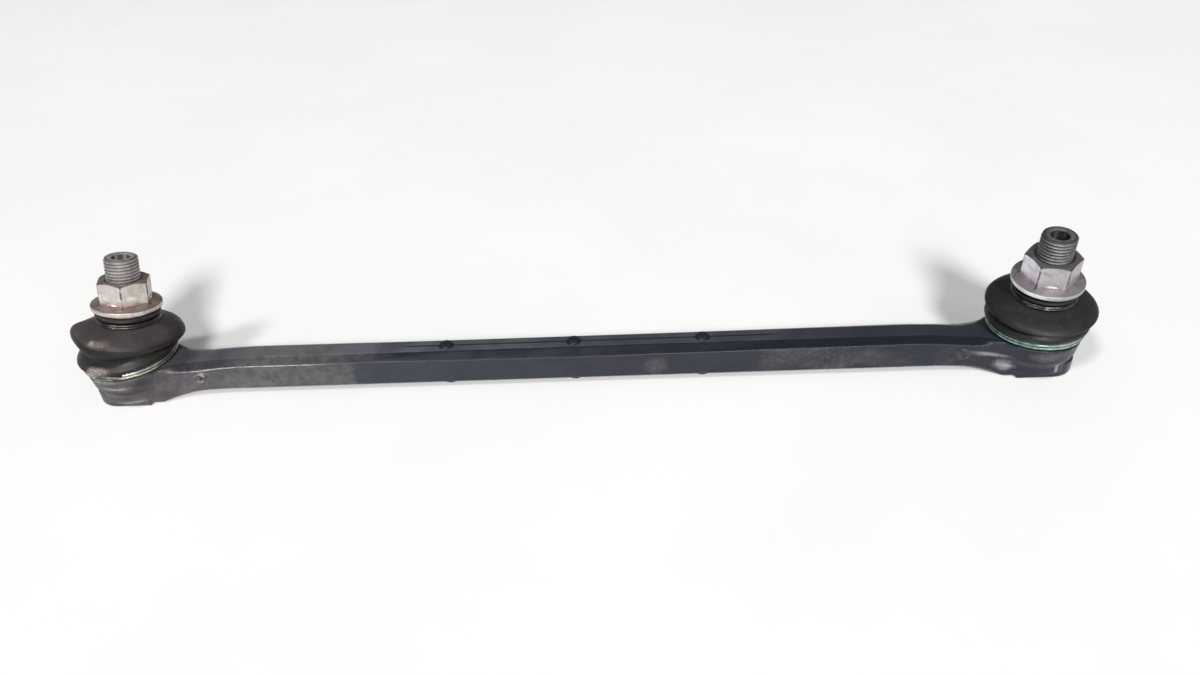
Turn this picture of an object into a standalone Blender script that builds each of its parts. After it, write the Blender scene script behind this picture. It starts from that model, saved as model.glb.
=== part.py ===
"""Stabilizer link: a moulded bar with a ball joint at each end, modelled in metres.

The origin is on the underside of the left foot, straight below the left ball centre.
+X runs along the bar to the right end, +Z up along the housings.
"""

import math

import bmesh
import bpy
from mathutils import Euler

# Whole link
LINK_LENGTH = 0.345
CLEARANCE = 0.0003

# Ball stud, heights counted from the ball centre along the stud
BALL_DIAMETER = 0.016
SHANK_DIAMETER = 0.0094
SHANK_TOP = 0.0115
GROOVE_DIAMETER = 0.016
GROOVE_BOTTOM = 0.0185
GROOVE_HEIGHT = 0.0053
COLLAR_DIAMETER = 0.020
COLLAR_THICKNESS = 0.0012
THREAD_DIAMETER = 0.012
THREAD_LENGTH = 0.0200
THREAD_CHAMFER = 0.0005
KEY_ACROSS_FLATS = 0.006
KEY_DEPTH = 0.006

# Lean of each stud as it was photographed
ALONG_LEAN = {"left": math.radians(7.3), "right": math.radians(-1.0)}
ACROSS_LEAN = {"left": math.radians(-10.4), "right": math.radians(5.1)}

# Flange nut
NUT_ACROSS_FLATS = 0.017
NUT_HEIGHT = 0.0113
NUT_FLANGE_DIAMETER = 0.025
NUT_FLANGE_RIM = 0.0014
NUT_FLANGE_ROUND = 0.0004
NUT_FLANGE_CONE = 0.0026
NUT_CHAMFER_ANGLE = math.radians(28.0)
NUT_COUNTERSINK = 0.0007
NUT_TURN = {"left": math.radians(-13.0), "right": math.radians(-15.0)}

# Housing and the seat inside it
SEAT_WALL = 0.0012
SEAT_MOUTH_HEIGHT = 0.004
SEAT_LIP_WIDTH = 0.0011
SEAT_LIP_THICKNESS = 0.0012
SEAT_FLARE = math.radians(30.0)
HOUSING_FLOOR = 0.0017
HOUSING_RISE = 0.0075
HOUSING_WALL = 0.0044
BAND_DIAMETER = 0.0336
BAND_HEIGHT = 0.0065
BAND_WAIST_DIAMETER = 0.0286
BAND_TAPER = 0.0010
WAIST_RISE = 0.0014
WAIST_FLARE = 0.0006
WAIST_GAP = 0.0004
COLLAR_SEAT_HEIGHT = 0.0034
HOUSING_EDGE = 0.0006

# Foot under each housing
FOOT_END_RADIUS = 0.0152
FOOT_HALF_WIDTH = 0.0119
FOOT_CORNER = 0.0095
FOOT_HEIGHT = 0.0060
FOOT_INNER_REACH = 0.0078
FOOT_EDGE = 0.0006

# Bar section: an octagon
BAR_WIDTH = 0.014
BAR_HEIGHT = 0.0148
BAR_BOTTOM = 0.0010
BAR_TOP_FLAT = 0.0068
BAR_FACE_HEIGHT = 0.0092

# Necks, as distances from the ball centre along the bar
NECK_START = 0.046
NECK_END = 0.0125
NECK_DIP = 0.0011
NECK_ROOT_WIDTH = 0.0212
NECK_ROOT_FACE = 0.0119
NECK_ROOT_CHAMFER = 0.0006
NECK_TOP_SPREAD = 0.017
NECK_POWER = 4
NECK_TOP_POWER = 11
NECK_DIP_SKEW = 1.3
NECK_STATIONS = (1.0, 0.95, 0.90, 0.85, 0.79, 0.72, 0.63, 0.50, 0.30, 0.0)
CHAMFER_DROP = 0.0020
FACE_GROWTH = 0.0008
SHANK_STATIONS = (0.33, 0.67)

# Round pads along the parting line
PAD_DIAMETER = 0.0050
PAD_HEIGHT = 0.0009
PAD_PITCH = 0.049
PAD_COUNT = 3
PAD_EDGE = 0.0003

# Dust boot, radii from its axis and heights over the ball centre
BOOT_WALL = 0.0015
BOOT_LOWER_FOLD = 0.0182
BOOT_MIDDLE_GROOVE = 0.0165
BOOT_UPPER_RIM = {"left": 0.0203, "right": 0.0193}
BOOT_RIM_HEIGHT = {"left": 0.0146, "right": 0.0153}
BOOT_RIM_THICKNESS = 0.0030
BOOT_NECK_LIP = 0.0115
BOOT_NECK_WALL = 0.0019
BOOT_NECK_HEIGHT = 0.0039
BOOT_NECK_SHELF = 0.0014
BOOT_LIP_THICKNESS = 0.0008
BOOT_EDGE = 0.0003

# Boot shapes from top to bottom: how far inside the radius, share of the height of that part
RIM_TOP = ((0.0053, 0.75), (0.0026, 0.48), (0.0008, 0.22), (0.0, 0.0))
RIM_UNDERSIDE = ((0.0002, 0.30), (0.0017, 0.62))
LOWER_FOLD = ((0.0009, 0.68), (0.0001, 0.42), (0.0, 0.20), (0.0005, 0.02))
RIM_INSIDE = ((0.0002, 0.0), (0.0027, 0.42), (0.0058, 0.66))
LOWER_FOLD_INSIDE = ((0.0002, 0.34),)

# Bend of the boot between the housing and the leaning stud, from the groove up to the rim
BEND_START = -0.50
BEND_END = 1.0

# Clamp rings, each two turns of round wire that lie on each other
LOWER_WIRE = 0.0011
UPPER_WIRE = 0.0009
TURN_WAIST = math.radians(50.0)

# Facets round a full turn
ROUND_STEPS = 32
HOUSING_STEPS = 36
PAD_STEPS = 16
RING_STEPS = 24
WIRE_STEPS = 6
BALL_STEPS = 9
SOCKET_STEPS = 6
CORNER_STEPS = 6

# Derived sizes
BALL_RADIUS = BALL_DIAMETER / 2
SEAT_INNER = BALL_RADIUS + CLEARANCE
SEAT_OUTER = SEAT_INNER + SEAT_WALL
SOCKET_RADIUS = SEAT_OUTER + CLEARANCE
SEAT_LIP_RADIUS = SEAT_OUTER + SEAT_LIP_WIDTH
SEAT_LIP_BOTTOM = SEAT_MOUTH_HEIGHT + CLEARANCE
SEAT_TOP = SEAT_LIP_BOTTOM + SEAT_LIP_THICKNESS
BALL_HEIGHT = HOUSING_FLOOR + SOCKET_RADIUS
HOUSING_HEIGHT = BALL_HEIGHT + HOUSING_RISE
HOUSING_NECK_RADIUS = SOCKET_RADIUS + HOUSING_WALL
SHOULDER_HEIGHT = HOUSING_HEIGHT - COLLAR_SEAT_HEIGHT
COLLAR_BOTTOM = GROOVE_BOTTOM + GROOVE_HEIGHT
COLLAR_TOP = COLLAR_BOTTOM + COLLAR_THICKNESS
STUD_TOP = COLLAR_TOP + THREAD_LENGTH
NUT_BOTTOM = COLLAR_TOP + CLEARANCE
NUT_BORE_RADIUS = THREAD_DIAMETER / 2 + CLEARANCE
BAR_TOP = BAR_BOTTOM + BAR_HEIGHT
BAR_MIDDLE = BAR_BOTTOM + BAR_HEIGHT / 2
BOOT_BOTTOM = SHOULDER_HEIGHT + CLEARANCE - BALL_HEIGHT
BOOT_COLLAR_INNER = HOUSING_NECK_RADIUS + CLEARANCE
BOOT_COLLAR_OUTER = BOOT_COLLAR_INNER + BOOT_WALL
BOOT_NECK_INNER = GROOVE_DIAMETER / 2 + CLEARANCE
BOOT_NECK_OUTER = BOOT_NECK_INNER + BOOT_NECK_WALL
BOOT_TOP = COLLAR_BOTTOM - CLEARANCE
BOOT_NECK_BOTTOM = BOOT_TOP - BOOT_NECK_HEIGHT
LOWER_RING_HEIGHT = 2 * LOWER_WIRE
UPPER_RING_HEIGHT = 2 * UPPER_WIRE
SIDES = ("left", "right")
END_X = {"left": 0.0, "right": LINK_LENGTH}
INWARD = {"left": 1.0, "right": -1.0}


def clear_scene():
    """Remove every object of the scene."""
    for old in list(bpy.data.objects):
        bpy.data.objects.remove(old, do_unlink=True)


def new_collection(name):
    """Make a collection and link it to the scene."""
    collection = bpy.data.collections.new(name)
    bpy.context.scene.collection.children.link(collection)
    return collection


clear_scene()
LINK = new_collection("stabilizer_link")
CUTTERS = new_collection("cutters")


def finish_material(name, colour, roughness, metallic):
    """Make a plain Principled material."""
    material = bpy.data.materials.new(name)
    material.use_nodes = True
    shader = material.node_tree.nodes["Principled BSDF"]
    shader.inputs["Base Color"].default_value = (*colour, 1.0)
    shader.inputs["Roughness"].default_value = roughness
    shader.inputs["Metallic"].default_value = metallic
    return material


def new_object(name, mesh, collection):
    """Put a mesh in the scene as an object."""
    obj = bpy.data.objects.new(name, mesh)
    collection.objects.link(obj)
    if collection is CUTTERS:
        obj.hide_render = True
        obj.display_type = "WIRE"
    return obj


def turned(name, profile, steps, collection=LINK, closed=False):
    """Turn a profile of (radius, height) points round Z; its outer side runs from top to bottom."""
    mesh = bpy.data.meshes.new(name)
    edges = [(i, i + 1) for i in range(len(profile) - 1)]
    if closed:
        edges.append((len(profile) - 1, 0))
    mesh.from_pydata([(radius, 0.0, height) for radius, height in profile], edges, [])
    obj = new_object(name, mesh, collection)
    screw = obj.modifiers.new("Turn", "SCREW")
    screw.steps = steps
    screw.render_steps = steps
    screw.use_merge_vertices = True
    screw.merge_threshold = 0.00001
    return obj


def prism(name, outline, low, high, collection=LINK):
    """Extrude a closed outline of (x, y) points from one height to another."""
    bm = bmesh.new()
    face = bm.faces.new([bm.verts.new((x, y, low)) for x, y in outline])
    moved = bmesh.ops.extrude_face_region(bm, geom=[face])["geom"]
    top = [element for element in moved if isinstance(element, bmesh.types.BMVert)]
    bmesh.ops.translate(bm, vec=(0.0, 0.0, high - low), verts=top)
    bmesh.ops.recalc_face_normals(bm, faces=bm.faces)
    mesh = bpy.data.meshes.new(name)
    bm.to_mesh(mesh)
    bm.free()
    return new_object(name, mesh, collection)


def loft(name, rings, collection=LINK):
    """Join closed rings of equal count into one capped body."""
    bm = bmesh.new()
    loops = [[bm.verts.new(point) for point in ring] for ring in rings]
    count = len(loops[0])
    for near, far in zip(loops, loops[1:]):
        for i in range(count):
            j = (i + 1) % count
            bm.faces.new((near[i], near[j], far[j], far[i]))
    bm.faces.new(loops[0])
    bm.faces.new(loops[-1])
    bmesh.ops.recalc_face_normals(bm, faces=bm.faces)
    mesh = bpy.data.meshes.new(name)
    bm.to_mesh(mesh)
    bm.free()
    return new_object(name, mesh, collection)


def boolean(obj, other, operation):
    """Join, cut or intersect an object with another."""
    modifier = obj.modifiers.new(operation.title(), "BOOLEAN")
    modifier.operation = operation
    modifier.object = other
    modifier.solver = "EXACT"


def bevel(obj, width, segments=1, angle=math.radians(30.0)):
    """Round or chamfer the edges sharper than an angle."""
    modifier = obj.modifiers.new("Edges", "BEVEL")
    modifier.width = width
    modifier.segments = segments
    modifier.limit_method = "ANGLE"
    modifier.angle_limit = angle


def evaluated_mesh(obj, name):
    """Return a copy of an object's mesh with its modifiers applied."""
    graph = bpy.context.evaluated_depsgraph_get()
    mesh = bpy.data.meshes.new_from_object(obj.evaluated_get(graph), depsgraph=graph)
    mesh.name = name
    return mesh


def smooth(obj, angle=math.radians(30.0)):
    """Shade the round faces smooth."""
    obj.data.shade_smooth()
    obj.data.set_sharp_from_angle(angle=angle)


def arc(centre, radius, start, end, steps):
    """Return points on an arc from one angle to another."""
    points = []
    for i in range(steps + 1):
        angle = start + (end - start) * i / steps
        points.append((centre[0] + radius * math.cos(angle), centre[1] + radius * math.sin(angle)))
    return points


def hexagon(across_flats, turn=0.0):
    """Return the corners of a hexagon."""
    radius = across_flats / 2 / math.cos(math.pi / 6)
    return [(radius * math.cos(turn + i * math.pi / 3), radius * math.sin(turn + i * math.pi / 3))
            for i in range(6)]


def smooth_step(value):
    """Rise smoothly from 0 to 1."""
    value = min(max(value, 0.0), 1.0)
    return value * value * (3 - 2 * value)


# Stud pivots: an empty at each ball centre, leaning with its stud
def make_pivot(side):
    """Put an empty on the ball centre, turned along the stud."""
    pivot = bpy.data.objects.new(side + "_pivot", None)
    pivot.location = (END_X[side], 0.0, BALL_HEIGHT)
    pivot.rotation_euler = (ACROSS_LEAN[side], ALONG_LEAN[side], 0.0)
    LINK.objects.link(pivot)
    return pivot


# Ball stud
def make_ball_stud(side, pivot, material):
    """Make the ball, shank, boot groove, collar and threaded end in one piece."""
    ball_top = math.sqrt(BALL_RADIUS ** 2 - (SHANK_DIAMETER / 2) ** 2)
    ball_start = math.asin(ball_top / BALL_RADIUS)
    thread = THREAD_DIAMETER / 2
    groove = GROOVE_DIAMETER / 2
    profile = [(0.0, STUD_TOP),
               (thread - THREAD_CHAMFER, STUD_TOP),
               (thread, STUD_TOP - THREAD_CHAMFER),
               (thread, COLLAR_TOP),
               (COLLAR_DIAMETER / 2, COLLAR_TOP),
               (COLLAR_DIAMETER / 2, COLLAR_BOTTOM),
               (groove, COLLAR_BOTTOM),
               (groove, GROOVE_BOTTOM),
               (SHANK_DIAMETER / 2, SHANK_TOP)]
    profile += arc((0.0, 0.0), BALL_RADIUS, ball_start, -math.pi / 2, BALL_STEPS)
    profile[-1] = (0.0, -BALL_RADIUS)
    stud = turned(side + "_ball_stud", profile, ROUND_STEPS)
    key = prism(side + "_key_cutter", hexagon(KEY_ACROSS_FLATS), STUD_TOP - KEY_DEPTH,
                STUD_TOP + KEY_DEPTH, CUTTERS)
    key.parent = pivot
    stud.parent = pivot
    boolean(stud, key, "DIFFERENCE")
    stud.data.materials.append(material)
    return stud


# Flange nut
def make_flange_nut(side, pivot, material):
    """Make the hexagon with its chamfered top, conical flange and plain bore."""
    corner = NUT_ACROSS_FLATS / 2 / math.cos(math.pi / 6)
    flange = NUT_FLANGE_DIAMETER / 2
    cone_top = NUT_FLANGE_RIM + NUT_FLANGE_CONE
    drop = (corner - NUT_ACROSS_FLATS / 2) * math.tan(NUT_CHAMFER_ANGLE) * 2
    face = 2 * NUT_ACROSS_FLATS / 2 - corner
    crown = [(0.0, NUT_HEIGHT),
             (face, NUT_HEIGHT),
             (flange, NUT_HEIGHT - drop * (flange - face) / (corner - face)),
             (flange, 0.0),
             (0.0, 0.0)]
    nut = prism(side + "_flange_nut", hexagon(NUT_ACROSS_FLATS, NUT_TURN[side]), NUT_FLANGE_RIM / 2,
                NUT_HEIGHT)
    chamfer = turned(side + "_nut_chamfer", crown, ROUND_STEPS, CUTTERS)
    rim = turned(side + "_nut_rim",
                 [(0.0, cone_top),
                  (NUT_ACROSS_FLATS / 2, cone_top),
                  (flange - NUT_FLANGE_ROUND, NUT_FLANGE_RIM),
                  (flange, NUT_FLANGE_RIM - NUT_FLANGE_ROUND),
                  (flange, 0.0),
                  (0.0, 0.0)],
                 ROUND_STEPS, CUTTERS)
    wide = NUT_BORE_RADIUS + NUT_COUNTERSINK
    bore = turned(side + "_nut_bore",
                  [(0.0, NUT_HEIGHT + wide),
                   (wide, NUT_HEIGHT + wide),
                   (wide, NUT_HEIGHT),
                   (NUT_BORE_RADIUS, NUT_HEIGHT - NUT_COUNTERSINK),
                   (NUT_BORE_RADIUS, NUT_COUNTERSINK),
                   (wide, 0.0),
                   (wide, -wide),
                   (0.0, -wide)],
                  ROUND_STEPS, CUTTERS)
    for obj in (nut, chamfer, rim, bore):
        obj.parent = pivot
        obj.location = (0.0, 0.0, NUT_BOTTOM)
    boolean(nut, chamfer, "INTERSECT")
    boolean(nut, rim, "UNION")
    boolean(nut, bore, "DIFFERENCE")
    nut.data.materials.append(material)
    return nut


# Ball seat
def make_ball_seat(side, material):
    """Make the cup that holds the ball, with a lip on the housing's ledge."""
    mouth = math.sqrt(SEAT_INNER ** 2 - SEAT_MOUTH_HEIGHT ** 2)
    flare = mouth + (SEAT_TOP - SEAT_MOUTH_HEIGHT) * math.tan(SEAT_FLARE)
    start = math.asin(SEAT_MOUTH_HEIGHT / SEAT_INNER)
    inner = arc((0.0, 0.0), SEAT_INNER, -math.pi / 2, start, SOCKET_STEPS + 1)
    outer = arc((0.0, 0.0), SEAT_OUTER, 0.0, -math.pi / 2, SOCKET_STEPS)
    inner[0] = (0.0, -SEAT_INNER)
    outer[-1] = (0.0, -SEAT_OUTER)
    lip = [(flare, SEAT_TOP),
           (SEAT_LIP_RADIUS, SEAT_TOP),
           (SEAT_LIP_RADIUS, SEAT_LIP_BOTTOM),
           (SEAT_OUTER, SEAT_LIP_BOTTOM)]
    seat = turned(side + "_ball_seat", inner + lip + outer, ROUND_STEPS)
    seat.location = (END_X[side], 0.0, BALL_HEIGHT)
    seat.data.materials.append(material)
    return seat


# Link bar with both housings
def section_at(distance):
    """Return the bar's section (half widths and heights) at a distance from a ball."""
    along = min(max((NECK_START - distance) / (NECK_START - NECK_END), 0.0), 1.0)
    spread = along ** NECK_POWER
    dip = NECK_DIP * math.sin(math.pi * along ** NECK_DIP_SKEW) ** 2
    middle = LINK_LENGTH / 2 - NECK_START
    growth = FACE_GROWTH * smooth_step((LINK_LENGTH / 2 - distance) / middle)
    root_top = SHOULDER_HEIGHT - CLEARANCE
    root_bottom = root_top - NECK_ROOT_FACE

    def blend(bar, root):
        """Mix a bar size with its size at the housing."""
        return bar + (root - bar) * spread

    half = blend(BAR_WIDTH / 2, NECK_ROOT_WIDTH / 2)
    flat = BAR_TOP_FLAT / 2 + NECK_TOP_SPREAD * along ** NECK_TOP_POWER
    return {
        "half": half,
        "flat": min(flat, half - NECK_ROOT_CHAMFER),
        "under": blend(BAR_TOP_FLAT / 2, NECK_ROOT_WIDTH / 2 - NECK_ROOT_CHAMFER),
        "top": blend(BAR_TOP, root_top) - dip,
        "bottom": blend(BAR_BOTTOM, CLEARANCE) + dip / 2,
        "face_top": blend(BAR_MIDDLE + BAR_FACE_HEIGHT / 2 + growth, root_top - CHAMFER_DROP) - dip,
        "face_bottom": blend(BAR_MIDDLE - BAR_FACE_HEIGHT / 2, root_bottom - CHAMFER_DROP),
    }


def section_ring(x, size):
    """Return the eight corners of the bar's section at x."""
    return [(x, -size["under"], size["bottom"]),
            (x, -size["half"], size["face_bottom"]),
            (x, -size["half"], size["face_top"]),
            (x, -size["flat"], size["top"]),
            (x, size["flat"], size["top"]),
            (x, size["half"], size["face_top"]),
            (x, size["half"], size["face_bottom"]),
            (x, size["under"], size["bottom"])]


def bar_distances():
    """Return the stations along half of the bar, as distances from a ball centre."""
    neck = [NECK_START - (NECK_START - NECK_END) * share for share in NECK_STATIONS]
    middle = LINK_LENGTH / 2
    shank = [NECK_START + (middle - NECK_START) * share for share in SHANK_STATIONS]
    return [NECK_END / 2] + neck + shank


def make_bar_blank():
    """Loft the bar and both necks through their stations."""
    half = bar_distances()
    rings = [section_ring(distance, section_at(distance)) for distance in half]
    middle = LINK_LENGTH / 2
    rings.append(section_ring(middle, section_at(middle)))
    for distance in reversed(half):
        rings.append(section_ring(LINK_LENGTH - distance, section_at(distance)))
    return loft("link_bar", rings)


def make_band(side):
    """Turn the housing's round body: neck, shoulder, tapering band and waist."""
    band = BAND_DIAMETER / 2
    waist = BAND_WAIST_DIAMETER / 2
    band_bottom = SHOULDER_HEIGHT - BAND_HEIGHT
    profile = [(0.0, HOUSING_HEIGHT),
               (HOUSING_NECK_RADIUS - HOUSING_EDGE, HOUSING_HEIGHT),
               (HOUSING_NECK_RADIUS, HOUSING_HEIGHT - HOUSING_EDGE),
               (HOUSING_NECK_RADIUS, SHOULDER_HEIGHT),
               (band - HOUSING_EDGE, SHOULDER_HEIGHT),
               (band, SHOULDER_HEIGHT - HOUSING_EDGE),
               (band - BAND_TAPER / 2, band_bottom + BAND_HEIGHT / 2),
               (band - BAND_TAPER, band_bottom),
               (waist + WAIST_FLARE, FOOT_HEIGHT + WAIST_RISE),
               (waist, FOOT_HEIGHT + WAIST_GAP),
               (waist, FOOT_HEIGHT / 2),
               (0.0, FOOT_HEIGHT / 2)]
    body = turned(side + "_band", profile, HOUSING_STEPS, CUTTERS)
    body.location = (END_X[side], 0.0, 0.0)
    return body


def make_foot(side):
    """Extrude the flat-sided foot with its rounded outer end."""
    corner_x = FOOT_END_RADIUS - FOOT_CORNER
    corner_y = FOOT_HALF_WIDTH - FOOT_CORNER
    outer = arc((corner_x, corner_y), FOOT_CORNER, math.pi / 2, 0.0, CORNER_STEPS)
    lower = arc((corner_x, -corner_y), FOOT_CORNER, 0.0, -math.pi / 2, CORNER_STEPS)
    outline = [(-FOOT_INNER_REACH, FOOT_HALF_WIDTH)] + outer + lower
    outline.append((-FOOT_INNER_REACH, -FOOT_HALF_WIDTH))
    outline = [(-INWARD[side] * x, y) for x, y in outline]
    foot = prism(side + "_foot", outline, 0.0, FOOT_HEIGHT, CUTTERS)
    foot.location = (END_X[side], 0.0, 0.0)
    bevel(foot, FOOT_EDGE, 2)
    return foot


def make_socket(side):
    """Make the cutter for the ball socket: sphere, wall and the seat lip's ledge."""
    over = HOUSING_RISE + SOCKET_RADIUS
    ledge = SEAT_LIP_BOTTOM - CLEARANCE
    sphere = arc((0.0, 0.0), SOCKET_RADIUS, 0.0, -math.pi / 2, SOCKET_STEPS)
    sphere[-1] = (0.0, -SOCKET_RADIUS)
    mouth = SEAT_LIP_RADIUS + CLEARANCE
    profile = [(0.0, over), (mouth, over), (mouth, ledge), (SOCKET_RADIUS, ledge)]
    cutter = turned(side + "_socket", profile + sphere, ROUND_STEPS, CUTTERS)
    cutter.location = (END_X[side], 0.0, BALL_HEIGHT)
    return cutter


def make_pad(index):
    """Turn a round pad that passes through the bar and stands proud of it above and below."""
    radius = PAD_DIAMETER / 2
    high = BAR_TOP + PAD_HEIGHT
    low = BAR_BOTTOM - PAD_HEIGHT
    profile = [(0.0, high),
               (radius - PAD_EDGE, high),
               (radius, high - PAD_EDGE),
               (radius, low + PAD_EDGE),
               (radius - PAD_EDGE, low),
               (0.0, low)]
    pad = turned("pad_" + str(index), profile, PAD_STEPS, CUTTERS)
    pad.location = (LINK_LENGTH / 2 + PAD_PITCH * (index - (PAD_COUNT - 1) / 2), 0.0, 0.0)
    return pad


def make_link_bar(material):
    """Join bar, housings, feet and pads, then cut the two ball sockets."""
    bar = make_bar_blank()
    for side in SIDES:
        boolean(bar, make_foot(side), "UNION")
        boolean(bar, make_band(side), "UNION")
    for index in range(PAD_COUNT):
        boolean(bar, make_pad(index), "UNION")
    for side in SIDES:
        boolean(bar, make_socket(side), "DIFFERENCE")
    bar.data.materials.append(material)
    return bar


# Dust boot
def boot_profile(side):
    """Return the boot's closed profile as (radius, height over the ball centre) points."""
    low = BOOT_BOTTOM + LOWER_RING_HEIGHT + 3 * CLEARANCE
    rim = BOOT_UPPER_RIM[side]
    rim_height = BOOT_RIM_HEIGHT[side]
    groove = rim_height - BOOT_RIM_THICKNESS
    top_span = BOOT_NECK_BOTTOM - rim_height
    low_span = groove - low
    ring_top = BOOT_NECK_BOTTOM + UPPER_RING_HEIGHT + 2 * CLEARANCE
    outer = [(BOOT_NECK_LIP - BOOT_EDGE, BOOT_TOP),
             (BOOT_NECK_LIP, BOOT_TOP - BOOT_EDGE),
             (BOOT_NECK_LIP, BOOT_TOP - BOOT_LIP_THICKNESS),
             (BOOT_NECK_OUTER, min(ring_top, BOOT_TOP - BOOT_LIP_THICKNESS - BOOT_EDGE)),
             (BOOT_NECK_OUTER, BOOT_NECK_BOTTOM),
             (BOOT_NECK_OUTER + BOOT_NECK_SHELF, BOOT_NECK_BOTTOM)]
    outer += [(rim - inset, rim_height + share * top_span) for inset, share in RIM_TOP]
    outer += [(rim - inset, rim_height - share * BOOT_RIM_THICKNESS) for inset, share in RIM_UNDERSIDE]
    outer.append((BOOT_MIDDLE_GROOVE, groove))
    outer += [(BOOT_LOWER_FOLD - inset, low + share * low_span) for inset, share in LOWER_FOLD]
    outer.append((BOOT_COLLAR_OUTER, low - CLEARANCE))
    outer.append((BOOT_COLLAR_OUTER, BOOT_BOTTOM))
    inside_low = BOOT_LOWER_FOLD - BOOT_WALL
    inside_rim = rim - BOOT_WALL
    inner = [(BOOT_COLLAR_INNER, BOOT_BOTTOM),
             (BOOT_COLLAR_INNER, HOUSING_RISE + CLEARANCE)]
    inner += [(inside_low - inset, low + share * low_span) for inset, share in LOWER_FOLD_INSIDE]
    inner.append((BOOT_MIDDLE_GROOVE - BOOT_WALL, groove))
    inner += [(inside_rim - inset, rim_height + share * top_span) for inset, share in RIM_INSIDE]
    inner += [(BOOT_NECK_OUTER, BOOT_NECK_BOTTOM - BOOT_WALL),
              (BOOT_NECK_INNER, BOOT_NECK_BOTTOM - BOOT_WALL / 2),
              (BOOT_NECK_INNER, BOOT_TOP)]
    return outer + inner


def make_dust_boot(side, material):
    """Turn the two-fold boot and bend its upper part along with the leaning stud."""
    upright = turned(side + "_boot_upright", boot_profile(side), ROUND_STEPS, CUTTERS, closed=True)
    mesh = evaluated_mesh(upright, side + "_dust_boot")
    bpy.data.objects.remove(upright)
    groove = BOOT_RIM_HEIGHT[side] - BOOT_RIM_THICKNESS
    start = groove + BEND_START * BOOT_RIM_THICKNESS
    end = groove + BEND_END * BOOT_RIM_THICKNESS
    for vertex in mesh.vertices:
        share = smooth_step((vertex.co.z - start) / (end - start))
        lean = Euler((ACROSS_LEAN[side] * share, ALONG_LEAN[side] * share, 0.0))
        vertex.co.rotate(lean)
    boot = new_object(side + "_dust_boot", mesh, LINK)
    boot.location = (END_X[side], 0.0, BALL_HEIGHT)
    mesh.materials.clear()
    mesh.materials.append(material)
    return boot


# Clamp rings
def make_ring(name, radius, bottom, wire, material):
    """Turn the section of two round wires, one on the other, joined where they touch."""
    half = wire / 2
    upper = arc((radius, bottom + wire + half), half, math.pi + TURN_WAIST, -TURN_WAIST, WIRE_STEPS)
    lower = arc((radius, bottom + half), half, TURN_WAIST, -math.pi - TURN_WAIST, WIRE_STEPS)
    ring = turned(name, upper + lower, RING_STEPS, closed=True)
    ring.data.materials.append(material)
    return ring


def make_lower_ring(side, material):
    """Put the wide ring round the boot's collar."""
    radius = BOOT_COLLAR_OUTER + CLEARANCE + LOWER_WIRE / 2
    ring = make_ring(side + "_lower_clamp_ring", radius, BOOT_BOTTOM + 2 * CLEARANCE, LOWER_WIRE, material)
    ring.location = (END_X[side], 0.0, BALL_HEIGHT)
    return ring


def make_upper_ring(side, pivot, material):
    """Put the small ring round the boot's neck."""
    radius = BOOT_NECK_OUTER + CLEARANCE + UPPER_WIRE / 2
    ring = make_ring(side + "_upper_clamp_ring", radius, BOOT_NECK_BOTTOM + CLEARANCE, UPPER_WIRE, material)
    ring.parent = pivot
    return ring


# The whole link
def build():
    """Build every piece of the link."""
    plastic = (0.045, 0.047, 0.055)
    rubber = (0.035, 0.030, 0.028)
    pieces = [make_link_bar(finish_material("link_bar", plastic, 0.42, 0.0))]
    for side in SIDES:
        pivot = make_pivot(side)
        stud_finish = finish_material(side + "_ball_stud", (0.30, 0.30, 0.31), 0.42, 0.9)
        nut_finish = finish_material(side + "_flange_nut", (0.62, 0.57, 0.52), 0.40, 0.85)
        seat_finish = finish_material(side + "_ball_seat", (0.72, 0.70, 0.64), 0.50, 0.0)
        boot_finish = finish_material(side + "_dust_boot", rubber, 0.62, 0.0)
        lower_finish = finish_material(side + "_lower_clamp_ring", (0.52, 0.66, 0.55), 0.40, 0.3)
        upper_finish = finish_material(side + "_upper_clamp_ring", (0.55, 0.55, 0.56), 0.35, 1.0)
        pieces.append(make_ball_seat(side, seat_finish))
        pieces.append(make_ball_stud(side, pivot, stud_finish))
        pieces.append(make_flange_nut(side, pivot, nut_finish))
        pieces.append(make_dust_boot(side, boot_finish))
        pieces.append(make_lower_ring(side, lower_finish))
        pieces.append(make_upper_ring(side, pivot, upper_finish))
    for piece in pieces:
        smooth(piece)


build()
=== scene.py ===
"""Stabilizer link: the looks of a used link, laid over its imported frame.

Lengths are in metres in the link's own frame: the origin is under the left foot, +X runs along the
bar to the right end and +Z is up. Each sub-assembly is a class that models its pieces on the bench,
dresses them and hands them to the body that carries them.
"""

import logging
import math
from dataclasses import dataclass
from enum import Enum
from typing import Callable, Sequence

import bmesh
import bpy
from mathutils import Euler, Matrix, Vector

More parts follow.
